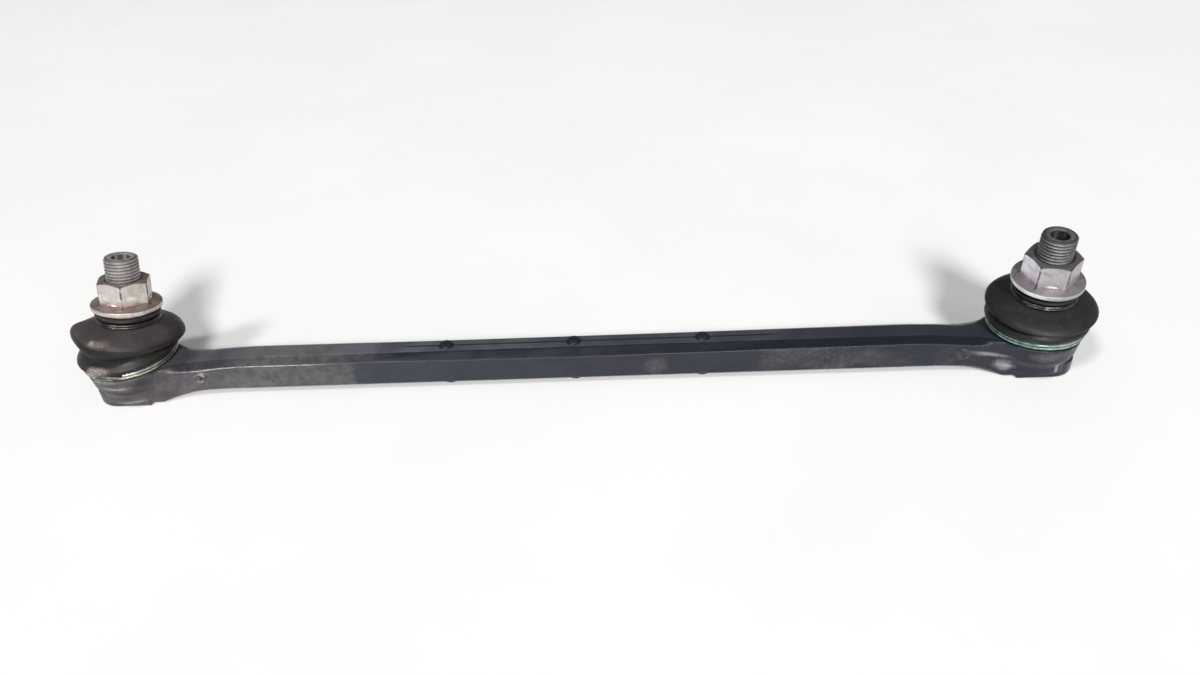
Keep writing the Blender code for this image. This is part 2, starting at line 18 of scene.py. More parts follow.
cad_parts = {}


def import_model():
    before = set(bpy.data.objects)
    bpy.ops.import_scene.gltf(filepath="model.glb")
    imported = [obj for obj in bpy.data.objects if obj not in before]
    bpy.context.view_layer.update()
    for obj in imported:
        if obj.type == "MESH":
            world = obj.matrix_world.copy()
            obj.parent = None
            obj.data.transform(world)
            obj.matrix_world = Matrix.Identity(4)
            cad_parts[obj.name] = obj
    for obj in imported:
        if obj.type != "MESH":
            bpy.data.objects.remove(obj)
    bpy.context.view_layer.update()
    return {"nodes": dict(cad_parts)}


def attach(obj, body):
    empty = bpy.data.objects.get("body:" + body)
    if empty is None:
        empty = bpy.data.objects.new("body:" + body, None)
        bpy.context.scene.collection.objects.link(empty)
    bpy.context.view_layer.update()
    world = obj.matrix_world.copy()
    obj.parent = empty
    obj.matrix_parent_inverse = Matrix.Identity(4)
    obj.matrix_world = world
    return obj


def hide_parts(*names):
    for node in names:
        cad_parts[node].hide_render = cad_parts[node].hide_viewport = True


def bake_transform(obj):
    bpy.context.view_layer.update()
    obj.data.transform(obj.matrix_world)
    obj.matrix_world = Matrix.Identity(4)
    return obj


LOG = logging.getLogger("stabilizer_link")
GROOVE = "groove_depth"
MERGE = 0.000002
UP = (0.0, 0.0, 1.0)
Point = tuple[float, float]
Place = tuple[float, float, float]
Colour = tuple[float, float, float]
Piece = bpy.types.Object
Material = bpy.types.Material
Socket = bpy.types.NodeSocket
Tree = bpy.types.NodeTree


class Side(Enum):
    """The two ends of the link."""

    LEFT = "left"
    RIGHT = "right"


class Join(Enum):
    """How one solid works on another."""

    ADD = "UNION"
    CUT = "DIFFERENCE"
    KEEP = "INTERSECT"


class Elements(Enum):
    """What edit mode selects."""

    VERTICES = "VERT"
    EDGES = "EDGE"
    FACES = "FACE"


@dataclass(frozen=True)
class EndPlace:
    """Where a ball joint sits and how its stud leans.

    Attributes:
        side: The end of the link.
        ball_x: Place of the ball centre along the bar.
        along: Lean of the stud along the bar, in degrees.
        across: Lean of the stud across the bar, in degrees.
        ball_height: Height of the ball centre over the foot's underside.
    """

    side: Side
    ball_x: float
    along: float
    across: float
    ball_height: float = 0.0115

    @property
    def ball(self) -> Vector:
        """Return the ball centre."""
        return Vector((self.ball_x, 0.0, self.ball_height))

    @property
    def axis(self) -> Vector:
        """Return the direction of the stud."""
        return self.lean() @ Vector(UP)

    @property
    def inward(self) -> float:
        """Return the sign of X from this end towards the middle of the bar."""
        return 1.0 if self.side is Side.LEFT else -1.0

    def lean(self, share: float = 1.0) -> Matrix:
        """Return a share of the stud's lean as a rotation.

        Args:
            share: 0 for upright, 1 for the stud's own lean.

        Returns:
            A 3 by 3 rotation matrix.
        """
        angles = (math.radians(self.across) * share, math.radians(self.along) * share, 0.0)
        return Euler(angles).to_matrix()

    def stud_matrix(self) -> Matrix:
        """Return the place of the stud's own frame, with the ball centre as origin."""
        return Matrix.Translation(self.ball) @ self.lean().to_4x4()

    def upright_matrix(self) -> Matrix:
        """Return the place of the housing's frame, with the ball centre as origin."""
        return Matrix.Translation(self.ball)

    def name(self, part: str) -> str:
        """Return the name of a piece or body of this end."""
        return f"{self.side.value}_{part}"


class Bench:
    """Modelling tools that all sub-assemblies share."""

    @staticmethod
    def pick(obj: Piece) -> None:
        """Select one object and nothing else.

        Args:
            obj: The object to work on.
        """
        bpy.ops.object.select_all(action="DESELECT")
        obj.select_set(True)
        bpy.context.view_layer.objects.active = obj

    @staticmethod
    def choose(obj: Piece, kind: Elements, test: Callable[..., bool]) -> None:
        """Select the elements of the mesh in edit mode that pass a test.

        Args:
            obj: The object in edit mode.
            kind: Vertices, edges or faces.
            test: Takes one element and says whether to select it.
        """
        bpy.ops.mesh.select_mode(type=kind.value)
        bpy.ops.mesh.select_all(action="DESELECT")
        mesh = bmesh.from_edit_mesh(obj.data)
        elements = {Elements.VERTICES: mesh.verts, Elements.EDGES: mesh.edges, Elements.FACES: mesh.faces}
        for element in elements[kind]:
            if test(element):
                element.select_set(True)
        bmesh.update_edit_mesh(obj.data)

    @staticmethod
    def draw(name: str, profile: Sequence[Point]) -> Piece:
        """Draw a profile by extruding one vertex, and stay in edit mode.

        Args:
            name: Name of the new object.
            profile: Points of radius and height, in order.

        Returns:
            The new object.
        """
        bpy.ops.object.select_all(action="DESELECT")
        bpy.ops.mesh.primitive_circle_add(vertices=3, radius=0.001)
        obj = bpy.context.object
        obj.name = name
        bpy.ops.object.mode_set(mode="EDIT")
        Bench.choose(obj, Elements.VERTICES, lambda vertex: vertex.index > 0)
        bpy.ops.mesh.delete(type="VERT")
        Bench.choose(obj, Elements.VERTICES, lambda vertex: True)
        start = bmesh.from_edit_mesh(obj.data).verts[:][0].co.copy()
        first = Vector((profile[0][0], 0.0, profile[0][1]))
        bpy.ops.transform.translate(value=first - start)
        for near, far in zip(profile, profile[1:]):
            step = (far[0] - near[0], 0.0, far[1] - near[1])
            bpy.ops.mesh.extrude_vertices_move(TRANSFORM_OT_translate={"value": step})
        return obj

    @staticmethod
    def turned(name: str, profile: Sequence[Point], steps: int, closed: bool = False) -> Piece:
        """Draw a profile and spin it round Z.

        Args:
            name: Name of the new object.
            profile: Points of radius and height, in order.
            steps: Facets round the full turn.
            closed: Whether the last point joins the first.

        Returns:
            The turned object.
        """
        obj = Bench.draw(name, profile)
        if closed:
            Bench.choose(obj, Elements.VERTICES, lambda vertex: len(vertex.link_edges) == 1)
            bpy.ops.mesh.edge_face_add()
        bpy.ops.mesh.select_all(action="SELECT")
        bpy.ops.mesh.spin(steps=steps, angle=2 * math.pi, center=(0.0, 0.0, 0.0), axis=UP)
        bpy.ops.mesh.select_all(action="SELECT")
        bpy.ops.mesh.remove_doubles(threshold=MERGE)
        Bench.face_outwards()
        return obj

    @staticmethod
    def face_outwards() -> None:
        """Turn all faces of the mesh in edit mode outwards, and leave edit mode."""
        bpy.ops.mesh.select_all(action="SELECT")
        bpy.ops.mesh.normals_make_consistent(inside=False)
        bpy.ops.object.mode_set(mode="OBJECT")

    @staticmethod
    def apply(obj: Piece, kind: str, **settings: object) -> None:
        """Add a modifier and apply it.

        Args:
            obj: The object to finish.
            kind: Type of the modifier.
            settings: Values for the modifier's own properties.
        """
        modifier = obj.modifiers.new(kind.title(), kind)
        for key, value in settings.items():
            setattr(modifier, key, value)
        Bench.pick(obj)
        bpy.ops.object.modifier_apply(modifier=modifier.name)

    @staticmethod
    def join_solid(obj: Piece, tool: Piece, how: Join) -> None:
        """Add, cut or intersect one solid with another and remove the tool.

        Args:
            obj: The object that stays.
            tool: The object that works on it.
            how: The kind of join.
        """
        Bench.apply(obj, "BOOLEAN", operation=how.value, object=tool, solver="EXACT")
        bpy.data.objects.remove(tool, do_unlink=True)

    @staticmethod
    def merge(keep: Piece, *others: Piece) -> None:
        """Join the meshes of other objects into one.

        Args:
            keep: The object that stays.
            others: The objects that go into it.
        """
        Bench.pick(keep)
        for other in others:
            other.select_set(True)
        bpy.ops.object.join()

    @staticmethod
    def close_ends(obj: Piece, split_height: float) -> None:
        """Fill the two open ends of a tube, one under and one over a height.

        Args:
            obj: The tube.
            split_height: A height between the two ends.
        """
        Bench.pick(obj)
        bpy.ops.object.mode_set(mode="EDIT")
        bpy.ops.mesh.select_all(action="SELECT")
        bpy.ops.mesh.remove_doubles(threshold=MERGE)
        for low in (True, False):
            Bench.choose(obj, Elements.EDGES, lambda edge: edge.is_boundary
                         and (edge.verts[0].co.z + edge.verts[1].co.z < 2 * split_height) == low)
            bpy.ops.mesh.edge_face_add()
        Bench.face_outwards()

    @staticmethod
    def place(obj: Piece, matrix: Matrix) -> None:
        """Move an object to its place and bring that into its mesh.

        Args:
            obj: The finished object.
            matrix: Its place in the link's frame.
        """
        obj.matrix_world = matrix
        Bench.pick(obj)
        bpy.ops.object.transform_apply(location=True, rotation=True, scale=True)

    @staticmethod
    def shade(obj: Piece, angle: float = 35.0) -> None:
        """Shade smooth up to an angle between faces.

        Args:
            obj: The object to shade.
            angle: Largest angle, in degrees, that still looks round.
        """
        Bench.pick(obj)
        bpy.ops.object.shade_smooth_by_angle(angle=math.radians(angle))

    @staticmethod
    def dress(obj: Piece, material: Material) -> None:
        """Give an object one material.

        Args:
            obj: The object to dress.
            material: Its finish.
        """
        obj.data.materials.clear()
        obj.data.materials.append(material)


def smooth_step(value: float) -> float:
    """Rise smoothly from 0 to 1.

    Args:
        value: Any number; under 0 gives 0 and over 1 gives 1.

    Returns:
        The eased value.
    """
    value = min(max(value, 0.0), 1.0)
    return value * value * (3 - 2 * value)


def arc(centre: Point, radius: float, start: float, end: float, steps: int) -> list[Point]:
    """Return points on an arc.

    Args:
        centre: Centre of the arc.
        radius: Radius of the arc.
        start: First angle, in degrees.
        end: Last angle, in degrees.
        steps: Pieces of the arc.

    Returns:
        The points, both ends included.
    """
    angles = [math.radians(start + (end - start) * i / steps) for i in range(steps + 1)]
    return [(centre[0] + radius * math.cos(a), centre[1] + radius * math.sin(a)) for a in angles]


def flowing(points: Sequence[Point], per_span: int) -> list[Point]:
    """Return a smooth curve through points.

    Args:
        points: Points that the curve passes.
        per_span: New points from each point to the next.

    Returns:
        The points of the curve, both ends included.
    """
    padded = [points[0], *points, points[-1]]
    curve: list[Point] = []
    for p0, p1, p2, p3 in zip(padded, padded[1:], padded[2:], padded[3:]):
        for i in range(per_span):
            t = i / per_span
            curve.append(tuple(
                0.5 * (2 * b + (c - a) * t + (2 * a - 5 * b + 4 * c - d) * t * t
                       + (3 * b - a - 3 * c + d) * t ** 3)
                for a, b, c, d in zip(p0, p1, p2, p3)))
    curve.append(points[-1])
    return curve


class Wiring:
    """Short ways to add and join nodes in one node tree."""

    def __init__(self, tree: Tree) -> None:
        """Keep the tree.

        Args:
            tree: The node tree to work in.
        """
        self.tree = tree

    def node(self, kind: str, **settings: object) -> bpy.types.Node:
        """Add a node.

        Args:
            kind: Type of the node.
            settings: Values for the node's own properties.

        Returns:
            The new node.
        """
        made = self.tree.nodes.new(kind)
        for key, value in settings.items():
            setattr(made, key, value)
        return made

    def feed(self, socket: Socket, value: object) -> None:
        """Give a socket a value or another socket's output.

        Args:
            socket: The input socket.
            value: A socket, a number, a vector or a colour.
        """
        if isinstance(value, Socket):
            self.tree.links.new(value, socket)
        elif isinstance(value, tuple) and len(value) == 3 and socket.type == "RGBA":
            socket.default_value = (*value, 1.0)
        else:
            socket.default_value = value

    def math(self, operation: str, a: object, b: object = 0.0, clamp: bool = False) -> Socket:
        """Add a Math node.

        Args:
            operation: What it does.
            a: First value or socket.
            b: Second value or socket.
            clamp: Whether the result stays between 0 and 1.

        Returns:
            The result's socket.
        """
        made = self.node("ShaderNodeMath", operation=operation, use_clamp=clamp)
        self.feed(made.inputs[0], a)
        self.feed(made.inputs[1], b)
        return made.outputs[0]

    def chain(self, operation: str, values: Sequence[object]) -> Socket:
        """Join values, from the first to the last, with Math nodes of one kind.

        Args:
            operation: What each node does.
            values: Two or more values or sockets.

        Returns:
            The result's socket.
        """
        result = values[0]
        for value in values[1:]:
            result = self.math(operation, result, value)
        return result

    def times(self, *values: object) -> Socket:
        """Return the product of the values."""
        return self.chain("MULTIPLY", values)

    def plus(self, *values: object) -> Socket:
        """Return the sum of the values."""
        return self.chain("ADD", values)

    def most(self, *values: object) -> Socket:
        """Return the largest of the values."""
        return self.chain("MAXIMUM", values)

    def less(self, a: object, b: object) -> Socket:
        """Return the first value less the second."""
        return self.math("SUBTRACT", a, b)

    def apart(self, a: object, b: object) -> Socket:
        """Return how far two values lie apart."""
        return self.math("ABSOLUTE", self.less(a, b))

    def radius(self, x: Socket, y: Socket) -> Socket:
        """Return the distance from the Z axis."""
        return self.math("SQRT", self.plus(self.times(x, x), self.times(y, y)))

    def vector(self, operation: str, a: object, b: object = (0.0, 0.0, 0.0)) -> bpy.types.Node:
        """Add a Vector Math node.

        Args:
            operation: What it does.
            a: First vector or socket.
            b: Second vector or socket.

        Returns:
            The node.
        """
        made = self.node("ShaderNodeVectorMath", operation=operation)
        self.feed(made.inputs[0], a)
        self.feed(made.inputs[1], b)
        return made

    def normal(self) -> Socket:
        """Return the direction that the surface faces."""
        return self.node("ShaderNodeTexCoord").outputs["Normal"]

    def facing(self, direction: Place) -> Socket:
        """Return how squarely the surface faces a direction."""
        return self.vector("DOT_PRODUCT", self.normal(), direction).outputs["Value"]

    def remap(self, value: object, low: object, high: object, start: object = 0.0,
              end: object = 1.0) -> Socket:
        """Add a Map Range node that eases a value from one range to another.

        Args:
            value: The value or socket to map.
            low: Value that gives the start.
            high: Value that gives the end.
            start: Result at low.
            end: Result at high.

        Returns:
            The result's socket.
        """
        made = self.node("ShaderNodeMapRange", interpolation_type="SMOOTHSTEP")
        for socket, given in zip(made.inputs, (value, low, high, start, end)):
            self.feed(socket, given)
        return made.outputs[0]

    def noise(self, vector: object, scale: object, detail: float = 4.0, rough: float = 0.55,
              distort: float = 0.0) -> Socket:
        """Add a Noise Texture node.

        Args:
            vector: Socket with the coordinates.
            scale: Scale of the noise.
            detail: Octaves.
            rough: Weight of the finer octaves.
            distort: How much it is warped.

        Returns:
            The socket of its value.
        """
        made = self.node("ShaderNodeTexNoise")
        self.feed(made.inputs["Vector"], vector)
        self.feed(made.inputs["Scale"], scale)
        self.feed(made.inputs["Detail"], detail)
        self.feed(made.inputs["Roughness"], rough)
        self.feed(made.inputs["Distortion"], distort)
        return made.outputs["Fac"]

    def stretched(self, vector: object, scale: Place) -> Socket:
        """Add a Mapping node that stretches the coordinates.

        Args:
            vector: Socket with the coordinates.
            scale: Factor along each axis.

        Returns:
            The socket of the new coordinates.
        """
        made = self.node("ShaderNodeMapping")
        self.feed(made.inputs["Vector"], vector)
        made.inputs["Scale"].default_value = scale
        return made.outputs[0]

    def split(self, vector: object) -> tuple[Socket, ...]:
        """Separate a vector.

        Args:
            vector: Socket of the vector.

        Returns:
            The sockets of X, Y and Z.
        """
        made = self.node("ShaderNodeSeparateXYZ")
        self.feed(made.inputs[0], vector)
        return tuple(made.outputs)

    def own_frame(self, vector: object, place: Matrix) -> Socket:
        """Bring coordinates into the frame of a piece.

        Args:
            vector: Socket with coordinates in the link's frame.
            place: Place of the piece's own frame.

        Returns:
            The socket of the new coordinates.
        """
        back = place.inverted()
        made = self.node("ShaderNodeMapping")
        self.feed(made.inputs["Vector"], vector)
        made.inputs["Location"].default_value = back.translation
        made.inputs["Rotation"].default_value = back.to_euler()
        return made.outputs[0]

    def mix(self, share: object, a: object, b: object) -> Socket:
        """Mix two colours.

        Args:
            share: Socket or number, 0 for the first colour.
            a: First colour or socket.
            b: Second colour or socket.

        Returns:
            The mixed colour's socket.
        """
        made = self.node("ShaderNodeMix", data_type="RGBA")
        self.feed(made.inputs["Factor"], share)
        self.feed(made.inputs[6], a)
        self.feed(made.inputs[7], b)
        return made.outputs[2]

    def group(self, tree: Tree, **values: object) -> Socket:
        """Place a node group and feed its inputs.

        Args:
            tree: The node group.
            values: Values or sockets by input name.

        Returns:
            The group's first output.
        """
        made = self.node("ShaderNodeGroup", node_tree=tree)
        for key, value in values.items():
            self.feed(made.inputs[key.replace("_", " ").title()], value)
        return made.outputs[0]

    def bump(self, height: object, strength: float, distance: float) -> Socket:
        """Add a Bump node.

        Args:
            height: Socket of the height.
            strength: How strongly it tilts the surface.
            distance: Height of a value of 1.

        Returns:
            The normal's socket.
        """
        made = self.node("ShaderNodeBump")
        made.inputs["Strength"].default_value = strength
        made.inputs["Distance"].default_value = distance
        self.feed(made.inputs["Height"], height)
        return made.outputs[0]


class Effects:
    """Node groups for what several finishes share, each built once."""

    def __init__(self) -> None:
        """Build the groups."""
        self.dust = self.build_dust()
        self.scratches = self.build_scratches()
        self.grain = self.build_grain()
        self.zone = self.build_zone()
        self.spot = self.build_spot()

    @staticmethod
    def start(name: str, output: str, **inputs: object) -> tuple[Wiring, dict[str, Socket], Socket]:
        """Begin a node group with named sockets.

        Args:
            name: Name of the group.
            output: Name of its one output.
            inputs: Default value of each input; a tuple makes a vector socket.

        Returns:
            The wiring, the input sockets by name, and the output socket.
        """
        tree = bpy.data.node_groups.new(name, "ShaderNodeTree")
        for key, value in inputs.items():
            kind = "NodeSocketVector" if isinstance(value, tuple) else "NodeSocketFloat"
            made = tree.interface.new_socket(key.replace("_", " ").title(), in_out="INPUT", socket_type=kind)
            made.default_value = value
        tree.interface.new_socket(output, in_out="OUTPUT", socket_type="NodeSocketFloat")
        wiring = Wiring(tree)
        entry = wiring.node("NodeGroupInput")
        leave = wiring.node("NodeGroupOutput")
        sockets = {key: entry.outputs[key.replace("_", " ").title()] for key in inputs}
        return wiring, sockets, leave.inputs[0]

    def build_dust(self) -> Tree:
        """Build patches of dust: broad clouds broken up by fine specks.

        Returns:
            The node group.
        """
        wiring, given, out = self.start("settled_dust", "Mask", vector=(0.0, 0.0, 0.0), scale=60.0, cover=0.5)
        clouds = wiring.noise(given["vector"], given["scale"], 5.0, 0.6, 0.4)
        specks = wiring.noise(given["vector"], wiring.times(given["scale"], 22.0), 2.0, 0.7)
        level = wiring.plus(clouds, wiring.times(wiring.less(specks, 0.5), 0.5))
        edge = wiring.less(0.78, wiring.times(given["cover"], 0.56))
        wiring.feed(out, wiring.remap(level, wiring.less(edge, 0.12), wiring.plus(edge, 0.14)))
        return wiring.tree

    def build_scratches(self) -> Tree:
        """Build thin rubbed lines: the level lines of two warped noises.

        Returns:
            The node group.
        """
        wiring, given, out = self.start("rubbed_lines", "Mask", vector=(0.0, 0.0, 0.0), scale=40.0,
                                        width=0.012)
        masks = []
        for factor, stretch in ((1.0, (0.35, 1.0, 1.0)), (2.3, (1.0, 1.0, 0.3))):
            bent = wiring.stretched(given["vector"], stretch)
            level = wiring.noise(bent, wiring.times(given["scale"], factor), 1.0, 0.4, 1.2)
            masks.append(wiring.remap(wiring.apart(level, 0.5), 0.0, given["width"], 1.0, 0.0))
        broken = wiring.remap(wiring.noise(given["vector"], wiring.times(given["scale"], 3.0)), 0.5, 0.62)
        wiring.feed(out, wiring.times(wiring.most(*masks), broken))
        return wiring.tree

    def build_grain(self) -> Tree:
        """Build the fine uneven surface of mouldings, castings and plating.

        Returns:
            The node group.
        """
        wiring, given, out = self.start("fine_grain", "Height", vector=(0.0, 0.0, 0.0), scale=900.0,
                                        lumps=0.4)
        fine = wiring.noise(given["vector"], given["scale"], 3.0, 0.6)
        broad = wiring.noise(given["vector"], wiring.times(given["scale"], 0.12), 3.0, 0.5)
        wiring.feed(out, wiring.plus(fine, wiring.times(broad, given["lumps"])))
        return wiring.tree

    def build_zone(self) -> Tree:
        """Build a stretch of one axis with soft ends.

        Returns:
            The node group.
        """
        wiring, given, out = self.start("soft_stretch", "Mask", value=0.0, low=0.0, high=1.0, fade=0.1)
        rise = wiring.remap(given["value"], wiring.less(given["low"], given["fade"]), given["low"])
        end = wiring.plus(given["high"], given["fade"])
        fall = wiring.remap(given["value"], given["high"], end, 1.0, 0.0)
        wiring.feed(out, wiring.times(rise, fall))
        return wiring.tree

    def build_spot(self) -> Tree:
        """Build a worn spot of three half widths round one point, with an uneven edge.

        Returns:
            The node group.
        """
        wiring, given, out = self.start("worn_spot", "Mask", vector=(0.0, 0.0, 0.0), centre=(0.0, 0.0, 0.0),
                                        size=(0.005, 0.005, 0.005))
        gap = wiring.vector("SUBTRACT", given["vector"], given["centre"]).outputs[0]
        share = wiring.vector("DIVIDE", gap, given["size"]).outputs[0]
        reach = wiring.vector("LENGTH", share).outputs["Value"]
        uneven = wiring.times(wiring.less(wiring.noise(given["vector"], 520.0, 4.0, 0.7), 0.5), 0.8)
        wiring.feed(out, wiring.remap(wiring.plus(reach, uneven), 0.25, 1.05, 1.0, 0.0))
        return wiring.tree


@dataclass(frozen=True)
class Finish:
    """What every finish has: a name, its effects and a Principled shader.

    Attributes:
        name: Name of the material.
        effects: The shared node groups.
    """

    name: str
    effects: Effects

    def begin(self) -> tuple[Material, Wiring, bpy.types.Node, Socket]:
        """Start the material.

        Returns:
            The material, its wiring, its shader and the socket of the object's coordinates.
        """
        material = bpy.data.materials.new(self.name)
        material.use_nodes = True
        wiring = Wiring(material.node_tree)
        shader = material.node_tree.nodes["Principled BSDF"]
        coordinates = wiring.node("ShaderNodeTexCoord").outputs["Object"]
        return material, wiring, shader, coordinates


@dataclass(frozen=True)
class Spot:
    """A small place that looks worn, dusty or dark.

    Attributes:
        centre: Its middle in the link's frame.
        size: Its half widths.
        strength: Share of the other colour in its middle.
    """

    centre: Place
    size: Place
    strength: float

    def mask(self, wiring: Wiring, effects: Effects, place: Socket, pattern: object) -> Socket:
        """Return the share of the other colour.

        Args:
            wiring: Wiring of the material.
            effects: The shared node groups.
            place: Socket of the coordinates.
            pattern: Socket or number that breaks the spot up.

        Returns:
            The socket of the share.
        """
        whole = wiring.group(effects.spot, vector=place, centre=self.centre, size=self.size)
        return wiring.times(whole, pattern, self.strength)


@dataclass(frozen=True)
class MouldedPlastic(Finish):
    """Satin blue-black plastic of the bar, with dust on its front face near both ends, painted shade and
    painted highlights.

    Attributes:
        base: Colour of the clean plastic.
        upper_tone: Colour that lightens the upper faces.
        dust: Colour of the settled dust.
        rust: Colour of the settled dust on the left housing.
        rub_and_highlight: Colour of scuffs, rub wear and painted highlights.
        shade: Colour of the painted shade on the slanting faces and in the dark spots, of the darker right
            part of the front face and of the parting line.
        film: Strength of the lighter tone on upper faces.
        left_end: Where the dust of the left half stops on the front face.
        right_span: Where the dust of the right half lies on the front face.
        line_span: Stretch of the bar along which the parting line stands out.
        line_width: Half width of the parting line.
        highlight_and_rub_span: Stretch along which the upper front edge gets a painted highlight over rub
            wear.
        scuffs_and_highlights: Streaky light spots: scuffs and painted highlights.
        smudges: Plain dusty spots.
        dark_spots_and_shade: Dark spots: dark patches and painted shade.
        grazes: Speckled light spots.
    """

    base: Colour = (0.0160, 0.0185, 0.0290)
    upper_tone: Colour = (0.098, 0.102, 0.124)
    dust: Colour = (0.152, 0.146, 0.142)
    rust: Colour = (0.150, 0.123, 0.116)
    rub_and_highlight: Colour = (0.55, 0.54, 0.54)
    shade: Colour = (0.0065, 0.0080, 0.0140)
    film: float = 0.34
    left_end: float = 0.0865
    right_span: Point = (0.2440, 0.3120)
    line_span: Point = (0.112, 0.245)
    line_width: float = 0.00025
    highlight_and_rub_span: Point = (0.030, 0.068)
    scuffs_and_highlights: tuple[Spot, ...] = ()
    smudges: tuple[Spot, ...] = ()
    dark_spots_and_shade: tuple[Spot, ...] = ()
    grazes: tuple[Spot, ...] = ()

    def lay_dust(self, wiring: Wiring, place: Socket, x: Socket, front: Socket, up: Socket) -> Socket:
        """Return the share of dust.

        Args:
            wiring: Wiring of the material.
            place: Socket of the coordinates.
            x: Socket of their X.
            front: Socket that is 1 on the front face.
            up: Socket that is 1 on faces that look up.

        Returns:
            The socket of the share.
        """
        zone = self.effects.zone
        wander = wiring.less(wiring.noise(place, 420.0, 4.0, 0.7), 0.5)
        ragged = wiring.plus(x, wiring.times(wander, 0.009))
        drawn = wiring.stretched(place, (0.45, 1.0, 1.0))
        blotches = wiring.group(self.effects.dust, vector=drawn, scale=95.0, cover=0.55)
        cloudy = wiring.remap(wiring.noise(drawn, 70.0, 5.0, 0.65), 0.34, 0.66)

        near = wiring.group(zone, value=ragged, low=-0.06, high=self.left_end, fade=0.003)
        level = wiring.times(wiring.remap(x, 0.010, 0.045, 0.30, 0.50),
                             wiring.remap(x, 0.055, 0.080, 1.0, 0.82),
                             wiring.plus(wiring.times(cloudy, 0.65), 0.55))
        near_front = wiring.times(near, front, level)
        rest = wiring.group(zone, value=x, low=-0.06, high=0.026, fade=0.085)
        settled = wiring.times(wiring.group(zone, value=x, low=0.054, high=0.086, fade=0.022), up)
        hollow = wiring.times(wiring.group(zone, value=x, low=0.019, high=0.032, fade=0.010), up)
        near_rest = wiring.times(rest, wiring.plus(wiring.times(cloudy, 0.38), 0.16),
                                 wiring.less(1.0, wiring.times(hollow, 0.75)))
        near_rest = wiring.math("ADD", near_rest, wiring.times(settled, 0.36), clamp=True)

        far = wiring.group(zone, value=ragged, low=self.right_span[0], high=self.right_span[1], fade=0.006)
        far_front = wiring.times(far, front, blotches, cloudy, 0.36)
        middle = wiring.times(blotches, front, 0.05)
        share = wiring.most(near_front, near_rest, far_front, middle)
        mottled = wiring.remap(wiring.noise(place, 300.0, 5.0, 0.7, 0.3), 0.36, 0.64, 0.62, 1.18)
        speckled = wiring.remap(wiring.noise(place, 1400.0, 3.0, 0.7), 0.25, 0.75, 0.74, 1.0)
        return wiring.times(share, mottled, speckled)

    def lay_spots(self, wiring: Wiring, place: Socket, colour: Socket) -> Socket:
        """Lay the smudges, the dark spots with their painted shade, and the scuffs, painted highlights and
        grazes over a colour.

        Args:
            wiring: Wiring of the material.
            place: Socket of the coordinates.
            colour: Socket of the colour under them.

        Returns:
            The socket of the new colour.
        """
        drawn = wiring.stretched(place, (0.05, 0.05, 1.0))
        streaks = wiring.remap(wiring.noise(drawn, 2300.0, 2.0, 0.5), 0.38, 0.62, 0.35, 1.0)
        specks = wiring.remap(wiring.noise(place, 900.0, 5.0, 0.75), 0.30, 0.66, 0.25, 1.0)
        # Dark spots carry painted shade, and streaky spots carry painted highlights as well as wear.
        for spots, pattern, tone in ((self.smudges, specks, self.dust), (self.dark_spots_and_shade, 1.0, self.shade),
                                     (self.scuffs_and_highlights, streaks, self.rub_and_highlight), (self.grazes, specks, self.rub_and_highlight)):
            for spot in spots:
                colour = wiring.mix(spot.mask(wiring, self.effects, place, pattern), colour, tone)
        return colour

    def build(self) -> Material:
        """Build the material.

        Returns:
            The material.
        """
        material, wiring, shader, place = self.begin()
        zone = self.effects.zone
        x, y, _ = wiring.split(place)
        _, facing_back, facing_up = wiring.split(wiring.normal())
        facing_front = wiring.times(facing_back, -1.0)
        front = wiring.remap(facing_front, 0.74, 0.90)
        top = wiring.remap(facing_up, 0.88, 0.97)
        slant = wiring.times(wiring.remap(facing_up, 0.50, 0.66), wiring.less(1.0, top))
        share = self.lay_dust(wiring, place, x, front, wiring.remap(facing_up, 0.72, 0.97))
        # Upper faces get a lighter tone whose strength changes along the bar.
        film = wiring.times(wiring.plus(wiring.times(top, self.film), 0.04),
                            wiring.remap(wiring.noise(place, 75.0, 4.0, 0.6), 0.3, 0.7, 0.6, 1.2),
                            wiring.remap(x, 0.14, 0.19, 1.9, 1.2), wiring.remap(x, 0.23, 0.28, 1.0, 0.3))
        colour = wiring.mix(film, self.base, self.upper_tone)
        # Painted shade on the slanting faces.
        colour = wiring.mix(wiring.times(slant, 0.92), colour, self.shade)
        # The front face darkens towards the right end.
        colour = wiring.mix(wiring.times(wiring.remap(x, 0.12, 0.20, 0.0, 0.42), front), colour, self.shade)
        colour = wiring.mix(share, colour, wiring.mix(wiring.remap(x, 0.016, 0.048), self.rust, self.dust))
        colour = self.lay_spots(wiring, place, colour)

        # Painted highlight over rub wear along the upper front edge near the left end.
        edge = wiring.times(wiring.remap(wiring.apart(facing_up, 0.42), 0.05, 0.20, 1.0, 0.0),
                            wiring.remap(facing_front, 0.6, 0.8))
        along = wiring.group(zone, value=x, low=self.highlight_and_rub_span[0], high=self.highlight_and_rub_span[1], fade=0.014)
        broken = wiring.remap(wiring.noise(place, 330.0, 4.0, 0.7), 0.34, 0.60, 0.25, 1.0)
        colour = wiring.mix(wiring.times(edge, along, broken, 0.9), colour, self.rub_and_highlight)
        thin = wiring.remap(wiring.math("ABSOLUTE", y), self.line_width, self.line_width * 2.2, 1.0, 0.0)
        stretch = wiring.group(zone, value=x, low=self.line_span[0], high=self.line_span[1], fade=0.01)
        line = wiring.times(thin, top, stretch)
        wiring.feed(shader.inputs["Base Color"], wiring.mix(wiring.times(line, 0.9), colour, self.shade))

